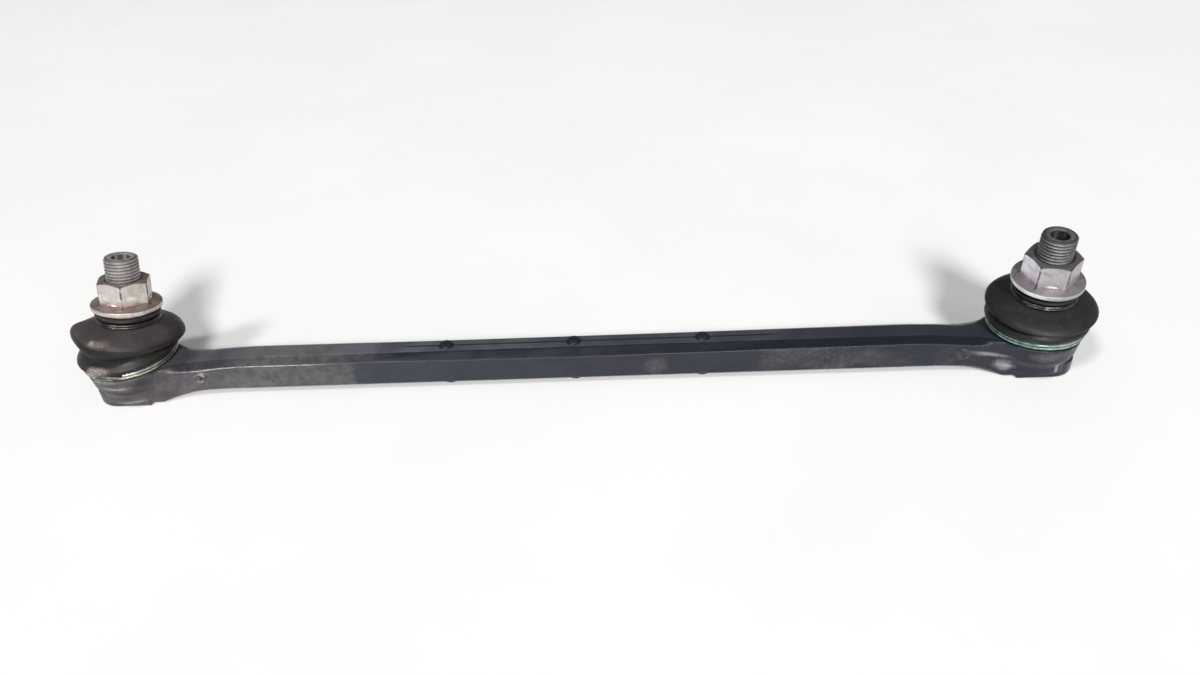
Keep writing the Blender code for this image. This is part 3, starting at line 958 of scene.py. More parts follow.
        gloss = wiring.remap(wiring.noise(place, 130.0, 4.0, 0.6), 0.3, 0.7, 0.27, 0.37)
        dull = wiring.times(wiring.remap(wiring.apart(facing_up, 0.40), 0.14, 0.28, 1.0, 0.0),
                            wiring.remap(x, 0.068, 0.092))
        matte = wiring.plus(wiring.times(share, 0.35), wiring.times(dull, 0.32))
        wiring.feed(shader.inputs["Roughness"], wiring.math("ADD", gloss, matte, clamp=True))
        grain = wiring.group(self.effects.grain, vector=place, scale=1500.0, lumps=1.6)
        height = wiring.plus(wiring.times(grain, 0.12), line)
        wiring.feed(shader.inputs["Normal"], wiring.bump(height, 0.6, 0.00015))
        shader.inputs["Specular IOR Level"].default_value = 0.33
        return material


@dataclass(frozen=True)
class BootRubber(Finish):
    """Matte rubber, a little dusty and worn where a fold stands out, with painted shade on steep sides and in
    the groove.

    Attributes:
        base: Colour of the rubber.
        dust: Colour of the dust.
        worn: Colour of a worn spot.
        cover: Share of the surface under dust.
        side_shade: Share of painted shade on steep sides.
        painted_shade: Colour of the painted shade on steep sides and in the groove between the folds.
        spots: Worn spots.
    """

    base: Colour = (0.012, 0.011, 0.012)
    dust: Colour = (0.07, 0.058, 0.052)
    worn: Colour = (0.34, 0.29, 0.26)
    painted_shade: Colour = (0.004, 0.0035, 0.0035)
    cover: float = 0.45
    side_shade: float = 0.40
    spots: tuple[Spot, ...] = ()

    def build(self) -> Material:
        """Build the material.

        Returns:
            The material.
        """
        material, wiring, shader, place = self.begin()
        dust = wiring.group(self.effects.dust, vector=place, scale=85.0, cover=self.cover)
        colour = wiring.mix(wiring.times(dust, 0.65), self.base, self.dust)
        rough = wiring.remap(wiring.noise(place, 150.0, 4.0, 0.6), 0.3, 0.7, 0.42, 0.60)
        level = wiring.split(wiring.normal())[2]
        # Painted shade on the steep sides.
        side = wiring.times(wiring.remap(level, 0.42, 0.95, 1.0, 0.0), self.side_shade)
        colour = wiring.mix(side, colour, self.painted_shade)
        speckle = wiring.remap(wiring.noise(place, 1700.0, 5.0, 0.8), 0.36, 0.60)
        for spot in self.spots:
            worn = spot.mask(wiring, self.effects, place, speckle)
            colour = wiring.mix(worn, colour, self.worn)
            rough = wiring.less(rough, wiring.times(worn, 0.16))
        # Painted shade in the groove between the folds, weighted by groove_depth.
        groove = wiring.node("ShaderNodeAttribute", attribute_name=GROOVE).outputs["Fac"]
        colour = wiring.mix(wiring.times(groove, 0.8), colour, self.painted_shade)
        specks = wiring.remap(wiring.noise(place, 1600.0, 2.0, 0.6), 0.70, 0.76)
        wiring.feed(shader.inputs["Base Color"], wiring.mix(wiring.times(specks, 0.35), colour, self.worn))
        wiring.feed(shader.inputs["Roughness"], rough)
        grain = wiring.group(self.effects.grain, vector=place, scale=1300.0, lumps=2.2)
        wiring.feed(shader.inputs["Normal"], wiring.bump(grain, 0.35, 0.00012))
        shader.inputs["Specular IOR Level"].default_value = 0.28
        return material


@dataclass(frozen=True)
class StudSteel(Finish):
    """Dull steel of a ball stud, darker in the roots of its thread, with painted shade in its key socket.

    Attributes:
        place: Place of the stud's own frame.
        base: Main colour of the steel.
        stain: Colour of its darker patches.
        dirt_and_shade: Colour of the dust, of the darker thread roots and of the painted shade in the key
            socket.
        root: Radius of the thread's roots.
        crest: Radius of the thread's crests.
        metallic: Share of bare metal in the look.
    """

    place: Matrix
    base: Colour = (0.42, 0.41, 0.41)
    stain: Colour = (0.25, 0.24, 0.24)
    dirt_and_shade: Colour = (0.05, 0.045, 0.042)
    root: float = 0.00535
    crest: float = 0.00585
    metallic: float = 0.75

    def build(self) -> Material:
        """Build the material.

        Returns:
            The material.
        """
        material, wiring, shader, place = self.begin()
        x, y, z = wiring.split(wiring.own_frame(place, self.place))
        radius = wiring.radius(x, y)
        stains = wiring.remap(wiring.noise(place, 230.0, 4.0, 0.65, 0.5), 0.38, 0.66)
        colour = wiring.mix(stains, self.base, self.stain)
        # Darker in the thread's roots.
        roots = wiring.times(wiring.remap(radius, self.root, self.crest, 1.0, 0.0),
                             wiring.remap(radius, 0.0044, 0.0050))
        dust = wiring.group(self.effects.dust, vector=place, scale=300.0, cover=0.3)
        # Painted shade inside the hexagonal key socket.
        inside = wiring.times(wiring.remap(radius, 0.0030, 0.0036, 1.0, 0.0), wiring.remap(z, 0.030, 0.034))
        share = wiring.most(wiring.times(roots, 0.75), wiring.times(dust, 0.6), wiring.times(inside, 0.96))
        wiring.feed(shader.inputs["Base Color"], wiring.mix(share, colour, self.dirt_and_shade))
        gloss = wiring.remap(wiring.noise(place, 380.0, 4.0, 0.6), 0.3, 0.7, 0.30, 0.46)
        rough = wiring.math("ADD", gloss, wiring.times(share, 0.25), clamp=True)
        wiring.feed(shader.inputs["Roughness"], rough)
        grain = wiring.group(self.effects.grain, vector=place, scale=1900.0, lumps=1.4)
        wiring.feed(shader.inputs["Normal"], wiring.bump(grain, 0.4, 0.00006))
        shader.inputs["Metallic"].default_value = self.metallic
        return material


@dataclass(frozen=True)
class NutZinc(Finish):
    """Zinc coat of a nut, with painted shade and grime on upward faces, darker corners, dirty scratches,
    painted light and a highlight.

    Attributes:
        place: Place of the nut's own frame.
        turn: Angle of one corner, in degrees.
        base: Colour of the hexagon's faces.
        warm: Colour of stains on them.
        grime_and_shade: Colour of the grime and painted shade on cone and crown, and of the streaks on the
            faces.
        dirt_and_shade: Colour of the darker corners, of dirt in scratches and dust, and of the painted shade
            on the crown.
        blush: Colour of the line where the hexagon meets the flange.
        shine: Colour of the painted highlight band over the flange.
        lit_colour: Colour of the painted light on the lit flank.
        lit_side: Direction that the flank with painted light faces.
        clean: Strength of the painted light on that flank.
        crown: Strength of the painted shade and dirt on the crown.
        metallic: Share of bare metal in the look.
    """

    place: Matrix
    turn: float
    base: Colour = (0.63, 0.585, 0.555)
    warm: Colour = (0.56, 0.46, 0.365)
    grime_and_shade: Colour = (0.25, 0.18, 0.17)
    dirt_and_shade: Colour = (0.10, 0.075, 0.055)
    blush: Colour = (0.50, 0.34, 0.34)
    shine: Colour = (0.86, 0.82, 0.74)
    lit_colour: Colour = (0.86, 0.85, 0.91)
    lit_side: Place = (-0.87, -0.50, 0.0)
    clean: float = 0.0
    crown: float = 0.3
    metallic: float = 0.60

    def build(self) -> Material:
        """Build the material.

        Returns:
            The material.
        """
        material, wiring, shader, place = self.begin()
        effects = self.effects
        own = wiring.own_frame(place, self.place)
        x, y, z = wiring.split(own)
        flat = wiring.remap(wiring.facing(tuple(self.place.to_3x3() @ Vector(UP))), 0.35, 0.75)
        lit_flank = wiring.remap(wiring.facing(self.lit_side), 0.70, 0.90)

        stains = wiring.remap(wiring.noise(place, 150.0, 4.0, 0.6, 0.5), 0.40, 0.64)
        colour = wiring.mix(wiring.times(stains, 0.7), self.base, self.warm)
        drawn = wiring.stretched(own, (1.0, 1.0, 0.10))
        brushed = wiring.remap(wiring.noise(drawn, 1500.0, 3.0, 0.6), 0.35, 0.65)
        colour = wiring.mix(wiring.times(brushed, 0.22), colour, self.grime_and_shade)
        # Painted highlight: a broken, wavy light band low on the hexagon faces.
        wavy = wiring.plus(z, wiring.times(wiring.less(wiring.noise(place, 300.0, 2.0, 0.5), 0.5), 0.004))
        shine = wiring.times(wiring.group(effects.zone, value=wavy, low=0.0050, high=0.0060, fade=0.0007),
                             wiring.remap(wiring.noise(place, 240.0, 3.0, 0.6), 0.42, 0.58), 0.8)
        colour = wiring.mix(shine, colour, self.shine)
        # Painted light on the flank that faces the front left.
        colour = wiring.mix(wiring.times(lit_flank, self.clean), colour, self.lit_colour)
        line = wiring.group(effects.zone, value=z, low=0.0028, high=0.0033, fade=0.0004)
        colour = wiring.mix(wiring.times(line, lit_flank, self.clean), colour, self.blush)
        foot = wiring.times(wiring.group(effects.zone, value=z, low=0.0026, high=0.0034, fade=0.0006),
                            wiring.remap(wiring.noise(place, 120.0, 2.0, 0.5), 0.42, 0.6), 0.55)
        colour = wiring.mix(foot, colour, self.blush)
        patchy = wiring.remap(wiring.noise(place, 280.0, 4.0, 0.65), 0.3, 0.65, 0.55, 1.0)
        # Painted shade with a grime tint on the upward faces of cone and crown, deeper on the crown.
        upward_shade_and_grime = wiring.times(flat, patchy)
        colour = wiring.mix(upward_shade_and_grime, colour, self.grime_and_shade)
        crown = wiring.times(upward_shade_and_grime, wiring.remap(z, 0.0085, 0.0095), self.crown)
        colour = wiring.mix(crown, colour, self.dirt_and_shade)

        # Darker along the hexagon's upright corners.
        angle = wiring.less(wiring.math("ARCTAN2", y, x), math.radians(self.turn))
        corner = wiring.math("COSINE", wiring.times(angle, 6.0))
        hexagon = wiring.group(effects.zone, value=z, low=0.0024, high=0.0110, fade=0.0004)
        edge = wiring.times(wiring.remap(corner, 0.968, 0.992), hexagon,
                            wiring.remap(wiring.radius(x, y), 0.0086, 0.0090),
                            wiring.remap(wiring.noise(place, 420.0, 3.0, 0.6), 0.40, 0.56, 0.45, 0.95))
        dust = wiring.group(effects.dust, vector=place, scale=300.0, cover=0.26)
        lines = wiring.group(effects.scratches, vector=place, scale=260.0, width=0.02)
        share = wiring.most(wiring.times(dust, 0.55), wiring.times(lines, 0.35), edge)
        wiring.feed(shader.inputs["Base Color"], wiring.mix(share, colour, self.dirt_and_shade))
        gloss = wiring.remap(wiring.noise(place, 260.0, 4.0, 0.6), 0.3, 0.7, 0.30, 0.48)
        rough = wiring.math("ADD", gloss, wiring.times(share, 0.25), clamp=True)
        wiring.feed(shader.inputs["Roughness"], rough)
        grain = wiring.group(effects.grain, vector=place, scale=1500.0, lumps=1.6)
        height = wiring.less(grain, wiring.times(lines, 0.8))
        wiring.feed(shader.inputs["Normal"], wiring.bump(height, 0.5, 0.00008))
        shader.inputs["Metallic"].default_value = self.metallic
        return material


@dataclass(frozen=True)
class CoatedWire(Finish):
    """Round spring wire with a thin coat, worn through in places, with dirt and painted shade where two turns
    touch.

    Attributes:
        coat: Colour of the coat.
        bare: Colour where the coat is gone.
        dirt_and_shade: Colour of the dirt on it and of the painted shade where two turns touch.
        wear: Share of the surface without coat.
        seam: Height where two level turns of wire touch.
        metallic: Share of bare metal in the look.
    """

    coat: Colour = (0.085, 0.155, 0.105)
    bare: Colour = (0.34, 0.42, 0.34)
    dirt_and_shade: Colour = (0.05, 0.045, 0.035)
    wear: float = 0.35
    seam: float = 0.0176
    metallic: float = 0.4

    def build(self) -> Material:
        """Build the material.

        Returns:
            The material.
        """
        material, wiring, shader, place = self.begin()
        worn = wiring.group(self.effects.dust, vector=place, scale=140.0, cover=self.wear)
        # Dirt and painted shade darken the wire along the seam where two turns touch.
        gap = wiring.apart(wiring.split(place)[2], self.seam)
        clean = wiring.times(wiring.remap(wiring.noise(place, 330.0, 4.0, 0.7), 0.50, 0.72, 1.0, 0.35),
                             wiring.remap(gap, 0.0001, 0.00035, 0.15, 1.0))
        coat = wiring.mix(worn, self.coat, self.bare)
        wiring.feed(shader.inputs["Base Color"], wiring.mix(clean, self.dirt_and_shade, coat))
        wiring.feed(shader.inputs["Roughness"], wiring.remap(worn, 0.0, 1.0, 0.36, 0.28))
        grain = wiring.group(self.effects.grain, vector=place, scale=1900.0, lumps=0.8)
        wiring.feed(shader.inputs["Normal"], wiring.bump(grain, 0.2, 0.00004))
        shader.inputs["Metallic"].default_value = self.metallic
        return material


@dataclass(frozen=True)
class SeatPlastic(Finish):
    """Pale slippery plastic of the ball seats, with a film of grease.

    Attributes:
        base: Colour of the plastic.
        grease: Colour of the grease.
    """

    base: Colour = (0.62, 0.60, 0.54)
    grease: Colour = (0.34, 0.27, 0.16)

    def build(self) -> Material:
        """Build the material.

        Returns:
            The material.
        """
        material, wiring, shader, place = self.begin()
        film = wiring.group(self.effects.dust, vector=place, scale=180.0, cover=0.55)
        wiring.feed(shader.inputs["Base Color"], wiring.mix(wiring.times(film, 0.6), self.base, self.grease))
        wiring.feed(shader.inputs["Roughness"], wiring.remap(film, 0.0, 1.0, 0.45, 0.2))
        grain = wiring.group(self.effects.grain, vector=place, scale=1200.0, lumps=0.6)
        wiring.feed(shader.inputs["Normal"], wiring.bump(grain, 0.2, 0.00005))
        return material


@dataclass
class BarMoulding:
    """The bar with both housings: its solid with the rounded edges and fillets of a moulding.

    Attributes:
        ends: The two ends.
        length: Distance between the ball centres.
        voxel: Grain of the first rounding.
        edge_rounds: Smoothing passes that round the edges.
        fillet_rounds: Smoothing passes where a neck runs into its housing.
        band_radius: Radius of a housing's round band.
        fillet_reach: How far from the crease a fillet reaches.
        fillet_span: Distances from the ball centre between which fillets lie.
        fillet_fade: Stretch over which they fade in.
        crease_gap: How far outside the band the crease runs.
        corner_place: Distance from the ball centre and height of the corner under the neck.
        corner_reach: How far that corner's fillet reaches along the bar and upwards.
        keep: Share of the faces that stays after thinning out.
        mark_radius: Radius of an ejector mark.
        mark_distances: Distance of each end's ejector mark from its ball centre.
        mark_height: Height of an ejector mark over the foot's underside.
        face_y: Place of the front face.
        pad_radii: Radius of the round pads on top and on the underside.
        pad_rise: How far a pad stands proud.
        pad_pitch: Distance between pads.
        low: Height of the bar's lower face.
        high: Height of the bar's upper face.
    """

    ends: tuple[EndPlace, EndPlace]
    length: float = 0.345
    voxel: float = 0.00036
    edge_rounds: int = 5
    fillet_rounds: int = 90
    band_radius: float = 0.0168
    fillet_reach: float = 0.0060
    fillet_span: Point = (0.010, 0.032)
    fillet_fade: float = 0.004
    crease_gap: float = 0.0010
    corner_place: Point = (0.0215, 0.0035)
    corner_reach: Point = (0.0075, 0.003)
    keep: float = 0.38
    mark_radius: float = 0.0034
    mark_distances: Point = (0.0278, 0.0264)
    mark_height: float = 0.0090
    face_y: float = -0.0070
    pad_radii: Point = (0.0025, 0.0031)
    pad_rise: float = 0.00095
    pad_pitch: float = 0.049
    low: float = 0.0010
    high: float = 0.0158

    def copy_solid(self, node: Piece) -> Piece:
        """Copy the bar's solid and merge its loose triangles.

        Args:
            node: The bar's node in the frame.

        Returns:
            The copy.
        """
        bar = bpy.data.objects.new("moulded_bar", node.data.copy())
        bpy.context.scene.collection.objects.link(bar)
        Bench.pick(bar)
        bpy.ops.object.mode_set(mode="EDIT")
        bpy.ops.mesh.select_all(action="SELECT")
        bpy.ops.mesh.remove_doubles(threshold=0.000001)
        bpy.ops.object.mode_set(mode="OBJECT")
        return bar

    def weigh_fillets(self, bar: Piece) -> None:
        """Weigh the vertices near the crease between each neck and its housing.

        Args:
            bar: The rounded bar.
        """
        group = bar.vertex_groups.new(name="fillets")
        start, stop = self.fillet_span
        for vertex in bar.data.vertices:
            for end in self.ends:
                x = (vertex.co.x - end.ball_x) * end.inward
                if x < start or x > stop:
                    continue
                away = abs(math.hypot(x, vertex.co.y) - self.band_radius - self.crease_gap)
                crease = 1 - smooth_step(away / self.fillet_reach)
                crease *= smooth_step((x - start) / self.fillet_fade)
                over = smooth_step((vertex.co.z - self.corner_place[1]) / self.corner_reach[1])
                beside = smooth_step(abs(x - self.corner_place[0]) / self.corner_reach[0])
                weight = max(crease, (1 - over) * (1 - beside))
                if weight > 0:
                    group.add([vertex.index], weight, "REPLACE")

    def round_off(self, bar: Piece) -> None:
        """Round the edges, fillet the necks and thin out the flat faces.

        Args:
            bar: The copy of the solid.
        """
        Bench.apply(bar, "REMESH", mode="VOXEL", voxel_size=self.voxel)
        Bench.apply(bar, "SMOOTH", factor=0.5, iterations=self.edge_rounds)
        self.weigh_fillets(bar)
        Bench.apply(bar, "SMOOTH", factor=0.5, iterations=self.fillet_rounds, vertex_group="fillets")
        Bench.apply(bar, "DECIMATE", ratio=self.keep)

    def make_mark(self, end: EndPlace) -> Piece:
        """Turn the ring and nub that an ejector pin leaves on the front face.

        Args:
            end: The end it is nearest to.

        Returns:
            The mark.
        """
        radius = self.mark_radius
        profile = flowing([(0.0, -0.00012), (0.0010, -0.00015), (0.0013, 0.0), (0.0016, 0.00032),
                           (0.0020, 0.00030), (0.0023, 0.0), (0.0026, -0.00015), (radius - 0.0004, -0.00012),
                           (radius, -0.00055)], 3)
        mark = Bench.turned(end.name("ejector_mark"), profile + [(radius, -0.0008), (0.0, -0.0008)], 48)
        x = end.ball_x + end.inward * self.mark_distances[self.ends.index(end)]
        turn = Matrix.Rotation(math.radians(90.0), 4, "X")
        Bench.place(mark, Matrix.Translation((x, self.face_y - 0.00050, self.mark_height)) @ turn)
        Bench.shade(mark, 50.0)
        return mark

    def make_pads(self) -> list[Piece]:
        """Turn a round pad for the top and one for the underside, and copy each along the bar.

        Returns:
            All pads.
        """
        pads = []
        rise = self.pad_rise
        faces = (Matrix.Translation((0.0, 0.0, self.high)),
                 Matrix.Translation((0.0, 0.0, self.low)) @ Matrix.Rotation(math.pi, 4, "X"))
        for name, radius, face in zip(("upper_pad", "under_pad"), self.pad_radii, faces):
            profile = [(0.0, rise), (radius - 0.00040, rise), (radius - 0.00022, rise - 0.00004),
                       (radius - 0.00005, rise - 0.00018), (radius, rise - 0.00034), (radius, -0.0010),
                       (0.0, -0.0010)]
            row = [Bench.turned(name, profile, 40)]
            for number in (1, 2):
                copy = bpy.data.objects.new(f"{name}_{number}", row[0].data.copy())
                bpy.context.scene.collection.objects.link(copy)
                row.append(copy)
            for number, pad in enumerate(row):
                x = self.length / 2 + self.pad_pitch * (number - 1)
                Bench.place(pad, Matrix.Translation((x, 0.0, 0.0)) @ face)
                Bench.shade(pad, 40.0)
            pads += row
        return pads

    def build(self, node: Piece, plastic: Material, dark: Material,
              stained: Sequence[Material]) -> None:
        """Make the bar, its pads and its ejector marks.

        Args:
            node: The bar's node in the frame.
            plastic: The finish of the moulding.
            dark: The finish of the pads.
            stained: The finish of each end's ejector mark.
        """
        bar = self.copy_solid(node)
        self.round_off(bar)
        Bench.shade(bar, 50.0)
        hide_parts("link_bar")
        dressed = [(bar, plastic), *((pad, dark) for pad in self.make_pads())]
        dressed += [(self.make_mark(end), finish) for end, finish in zip(self.ends, stained)]
        for piece, finish in dressed:
            Bench.dress(piece, finish)
            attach(piece, "link")
        LOG.info("moulded bar: %d faces", len(bar.data.polygons))


@dataclass
class BallStud:
    """A ball stud with its rolled thread and hexagonal key socket.

    Attributes:
        end: The end it belongs to.
        ball_radius: Radius of the ball.
        shank_radius: Radius of the shank over the ball.
        collar_radius: Radius of the collar.
        collar_bottom: Height of the collar's lower face over the ball centre.
        collar_top: Height of the collar's upper face.
        groove_radius: Radius of the groove that holds the boot.
        groove_bottom: Height where the groove starts.
        edge: Chamfer of the collar.
        stud_top: Height of the tip.
        thread_radius: Radius over the crests.
        thread_depth: Depth of the thread.
        pitch: Rise of the thread in one turn.
        key_flats: Width of the key socket across its flats.
        key_depth: Depth of the key socket.
    """

    end: EndPlace
    ball_radius: float = 0.008
    shank_radius: float = 0.0047
    collar_radius: float = 0.0100
    collar_bottom: float = 0.0238
    collar_top: float = 0.025
    groove_radius: float = 0.0080
    groove_bottom: float = 0.0185
    edge: float = 0.0003
    stud_top: float = 0.045
    thread_radius: float = 0.006
    thread_depth: float = 0.00072
    pitch: float = 0.00125
    key_flats: float = 0.006
    key_depth: float = 0.006

    def make_body(self) -> Piece:
        """Turn the ball, shank, boot groove and collar.

        Returns:
            The body.
        """
        start = math.degrees(math.acos(self.shank_radius / self.ball_radius))
        root = self.thread_radius - self.thread_depth
        collar = self.collar_radius
        chamfered = collar - self.edge
        profile = [(0.0, self.collar_top + 0.0004), (root, self.collar_top + 0.0004),
                   (self.thread_radius, self.collar_top), (chamfered, self.collar_top),
                   (collar, self.collar_top - self.edge), (collar, self.collar_bottom + self.edge),
                   (chamfered, self.collar_bottom), (self.groove_radius, self.collar_bottom),
                   (self.groove_radius, self.groove_bottom), (0.0050, 0.0118), (self.shank_radius, 0.0108)]
        profile += arc((0.0, 0.0), self.ball_radius, start, -90.0, 28)
        profile[-1] = (0.0, -self.ball_radius)
        return Bench.turned(self.end.name("threaded_stud"), profile, 72)

    def make_thread(self) -> Piece:
        """Wind one pitch of the thread's outline into a screw, and cut it to a chamfered bar.

        Returns:
            The thread.
        """
        root = self.thread_radius - self.thread_depth
        crest = self.thread_radius
        shoulder = crest - 0.00008
        turn = self.pitch
        low = self.collar_top - 2 * turn
        outline = [(root, low), (root, low + 0.10 * turn), (shoulder, low + 0.40 * turn),
                   (crest, low + 0.46 * turn), (crest, low + 0.54 * turn), (shoulder, low + 0.60 * turn),
                   (root, low + 0.90 * turn), (root, low + turn)]
        screw = Bench.draw(self.end.name("thread"), outline)
        bpy.ops.object.mode_set(mode="OBJECT")
        turns = int((self.stud_top - low) / turn) + 3
        Bench.apply(screw, "SCREW", steps=64, render_steps=64, screw_offset=turn, iterations=turns,
                    use_merge_vertices=True, merge_threshold=MERGE)
        Bench.close_ends(screw, (self.collar_top + self.stud_top) / 2)
        Bench.join_solid(screw, self.make_blank(), Join.KEEP)
        return screw

    def make_blank(self) -> Piece:
        """Turn the chamfered blank of the thread with its pilot hole, and cut the hexagonal socket.

        Returns:
            The blank.
        """
        tip = self.stud_top
        foot = self.collar_top - 0.0004
        floor = tip - self.key_depth
        over = self.thread_radius + 0.0003
        chamfer = 0.00075
        pilot = self.key_flats / 2 - 0.0001
        corner = self.key_flats / 2 / math.cos(math.pi / 6)
        blank = Bench.turned(self.end.name("thread_blank"),
                             [(0.0, floor - 0.0011), (pilot, floor), (pilot, tip - 0.0006),
                              (corner + 0.0002, tip), (self.thread_radius - chamfer, tip),
                              (over, tip - chamfer), (over, foot), (0.0, foot)], 72)
        bpy.ops.object.select_all(action="DESELECT")
        bpy.ops.mesh.primitive_cylinder_add(vertices=6, radius=corner, depth=self.key_depth + 0.0009,
                                            location=(0.0, 0.0, (tip + floor + 0.0011) / 2))
        key = bpy.context.object
        bpy.ops.object.transform_apply(location=True, rotation=True, scale=True)
        Bench.join_solid(blank, key, Join.CUT)
        return blank

    def build(self, steel: Material) -> None:
        """Make the stud.

        Args:
            steel: Its finish.
        """
        body = self.make_body()
        thread = self.make_thread()
        Bench.merge(body, thread)
        Bench.place(body, self.end.stud_matrix())
        Bench.shade(body, 40.0)
        Bench.dress(body, steel)
        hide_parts(self.end.name("ball_stud"))
        self.end.name("ball_stud")
        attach(body, self.end.name("stud"))
        LOG.info("%s: %d faces", body.name, len(body.data.polygons))


@dataclass
class FlangeNut:
    """A hexagon nut with a chamfered crown, a conical flange and softened edges.

    Attributes:
        end: The end it belongs to.
        turn: Angle of one corner from the stud frame's X, in degrees.
        flats: Width across the flats.
        height: Height of the whole nut.
        flange_radius: Radius of the flange.
        bottom: Height of its underside over the ball centre.
        bore_radius: Radius of the bore.
        crown_slope: Slope of the chamfered crown, in degrees.
        corner_round: Rounding of the hexagon's upright edges.
        edge_round: Rounding of all other edges.
    """

    end: EndPlace
    turn: float
    flats: float = 0.017
    height: float = 0.0113
    flange_radius: float = 0.0125
    bottom: float = 0.0253
    bore_radius: float = 0.00612
    crown_slope: float = 28.0
    corner_round: float = 0.00028
    edge_round: float = 0.00010

    def matrix(self) -> Matrix:
        """Return the place of the nut's own frame."""
        return self.end.stud_matrix() @ Matrix.Translation((0.0, 0.0, self.bottom))

    def make_hexagon(self) -> Piece:
        """Make the hexagon with rounded corners and a chamfered crown.

        Returns:
            The hexagon.
        """
        corner = self.flats / 2 / math.cos(math.pi / 6)
        low = 0.0006
        bpy.ops.object.select_all(action="DESELECT")
        bpy.ops.mesh.primitive_cylinder_add(vertices=6, radius=corner, depth=self.height - low,
                                            location=(0.0, 0.0, (self.height + low) / 2))
        nut = bpy.context.object
        nut.name = self.end.name("hexagon_nut")
        nut.rotation_euler = (0.0, 0.0, math.radians(self.turn - 30.0))
        bpy.ops.object.transform_apply(location=True, rotation=True, scale=True)
        bpy.ops.object.mode_set(mode="EDIT")
        Bench.choose(nut, Elements.EDGES, lambda edge: abs(edge.verts[0].co.z - edge.verts[1].co.z) > low)
        bpy.ops.mesh.bevel(offset=self.corner_round, segments=3)
        bpy.ops.object.mode_set(mode="OBJECT")
        face = self.flats / 2 - 0.0001
        over = corner + 0.002
        brow = self.height - 0.00012
        drop = (over - face) * math.tan(math.radians(self.crown_slope))
        crown = Bench.turned(self.end.name("nut_crown"),
                             [(0.0, self.height), (face - 0.0003, self.height), (face, brow),
                              (over, brow - drop), (over, 0.0), (0.0, 0.0)], 96)
        Bench.join_solid(nut, crown, Join.KEEP)
        return nut

    def make_flange(self) -> Piece:
        """Turn the conical flange with its rounded rim.

        Returns:
            The flange.
        """
        rim = self.flange_radius
        profile = [(0.0, 0.0043), (0.0083, 0.0043), (0.0085, 0.0036), (0.0089, 0.0030),
                   (rim - 0.0005, 0.00175)]
        profile += arc((rim - 0.0004, 0.00135), 0.0004, 70.0, 0.0, 4)
        profile += arc((rim - 0.0003, 0.0003), 0.0003, 0.0, -90.0, 3) + [(0.0, 0.0)]
        return Bench.turned(self.end.name("nut_flange"), profile, 96)

    def make_bore(self) -> Piece:
        """Turn the bore with a chamfer at each end, long enough to cut right through.

        Returns:
            The bore.
        """
        chamfer = 0.0007
        wide = self.bore_radius + chamfer
        past = 0.003
        profile = [(0.0, self.height + past), (wide, self.height + past), (wide, self.height),
                   (self.bore_radius, self.height - chamfer), (self.bore_radius, chamfer), (wide, 0.0),
                   (wide, -past), (0.0, -past)]
        return Bench.turned(self.end.name("nut_bore"), profile, 72)

    def build(self, zinc: Material) -> None:
        """Make the nut.

        Args:
            zinc: Its finish.
        """
        nut = self.make_hexagon()
        Bench.join_solid(nut, self.make_flange(), Join.ADD)
        Bench.join_solid(nut, self.make_bore(), Join.CUT)
        Bench.apply(nut, "BEVEL", width=self.edge_round, segments=2, limit_method="ANGLE",
                    angle_limit=math.radians(28.0))
        Bench.place(nut, self.matrix())
        Bench.shade(nut, 35.0)
        Bench.dress(nut, zinc)
        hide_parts(self.end.name("flange_nut"))
        self.end.name("flange_nut")
        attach(nut, self.end.name("nut"))
        LOG.info("%s: %d faces", nut.name, len(nut.data.polygons))


@dataclass(frozen=True)
class Dent:
    """A place where the rubber is pushed out of its round shape.

    Attributes:
        azimuth: Direction of its middle, in degrees.
        spread: Half width round the boot, in degrees.
        height: Height of its middle over the ball centre.
        reach: Half height.
        out: How far it goes outwards.
        up: How far it goes upwards.
    """

    azimuth: float
    spread: float
    height: float
    reach: float
    out: float
    up: float

    def weight(self, point: Vector) -> float:
        """Return how much of the dent a point gets.

        Args:
            point: Point in the boot's upright frame.

        Returns:
            A share from 0 to 1.
        """
        turn = (math.degrees(math.atan2(point.y, point.x)) - self.azimuth + 180.0) % 360.0 - 180.0
        beside = smooth_step(1 - abs(turn) / self.spread)
        return beside * smooth_step(1 - abs(point.z - self.height) / self.reach)


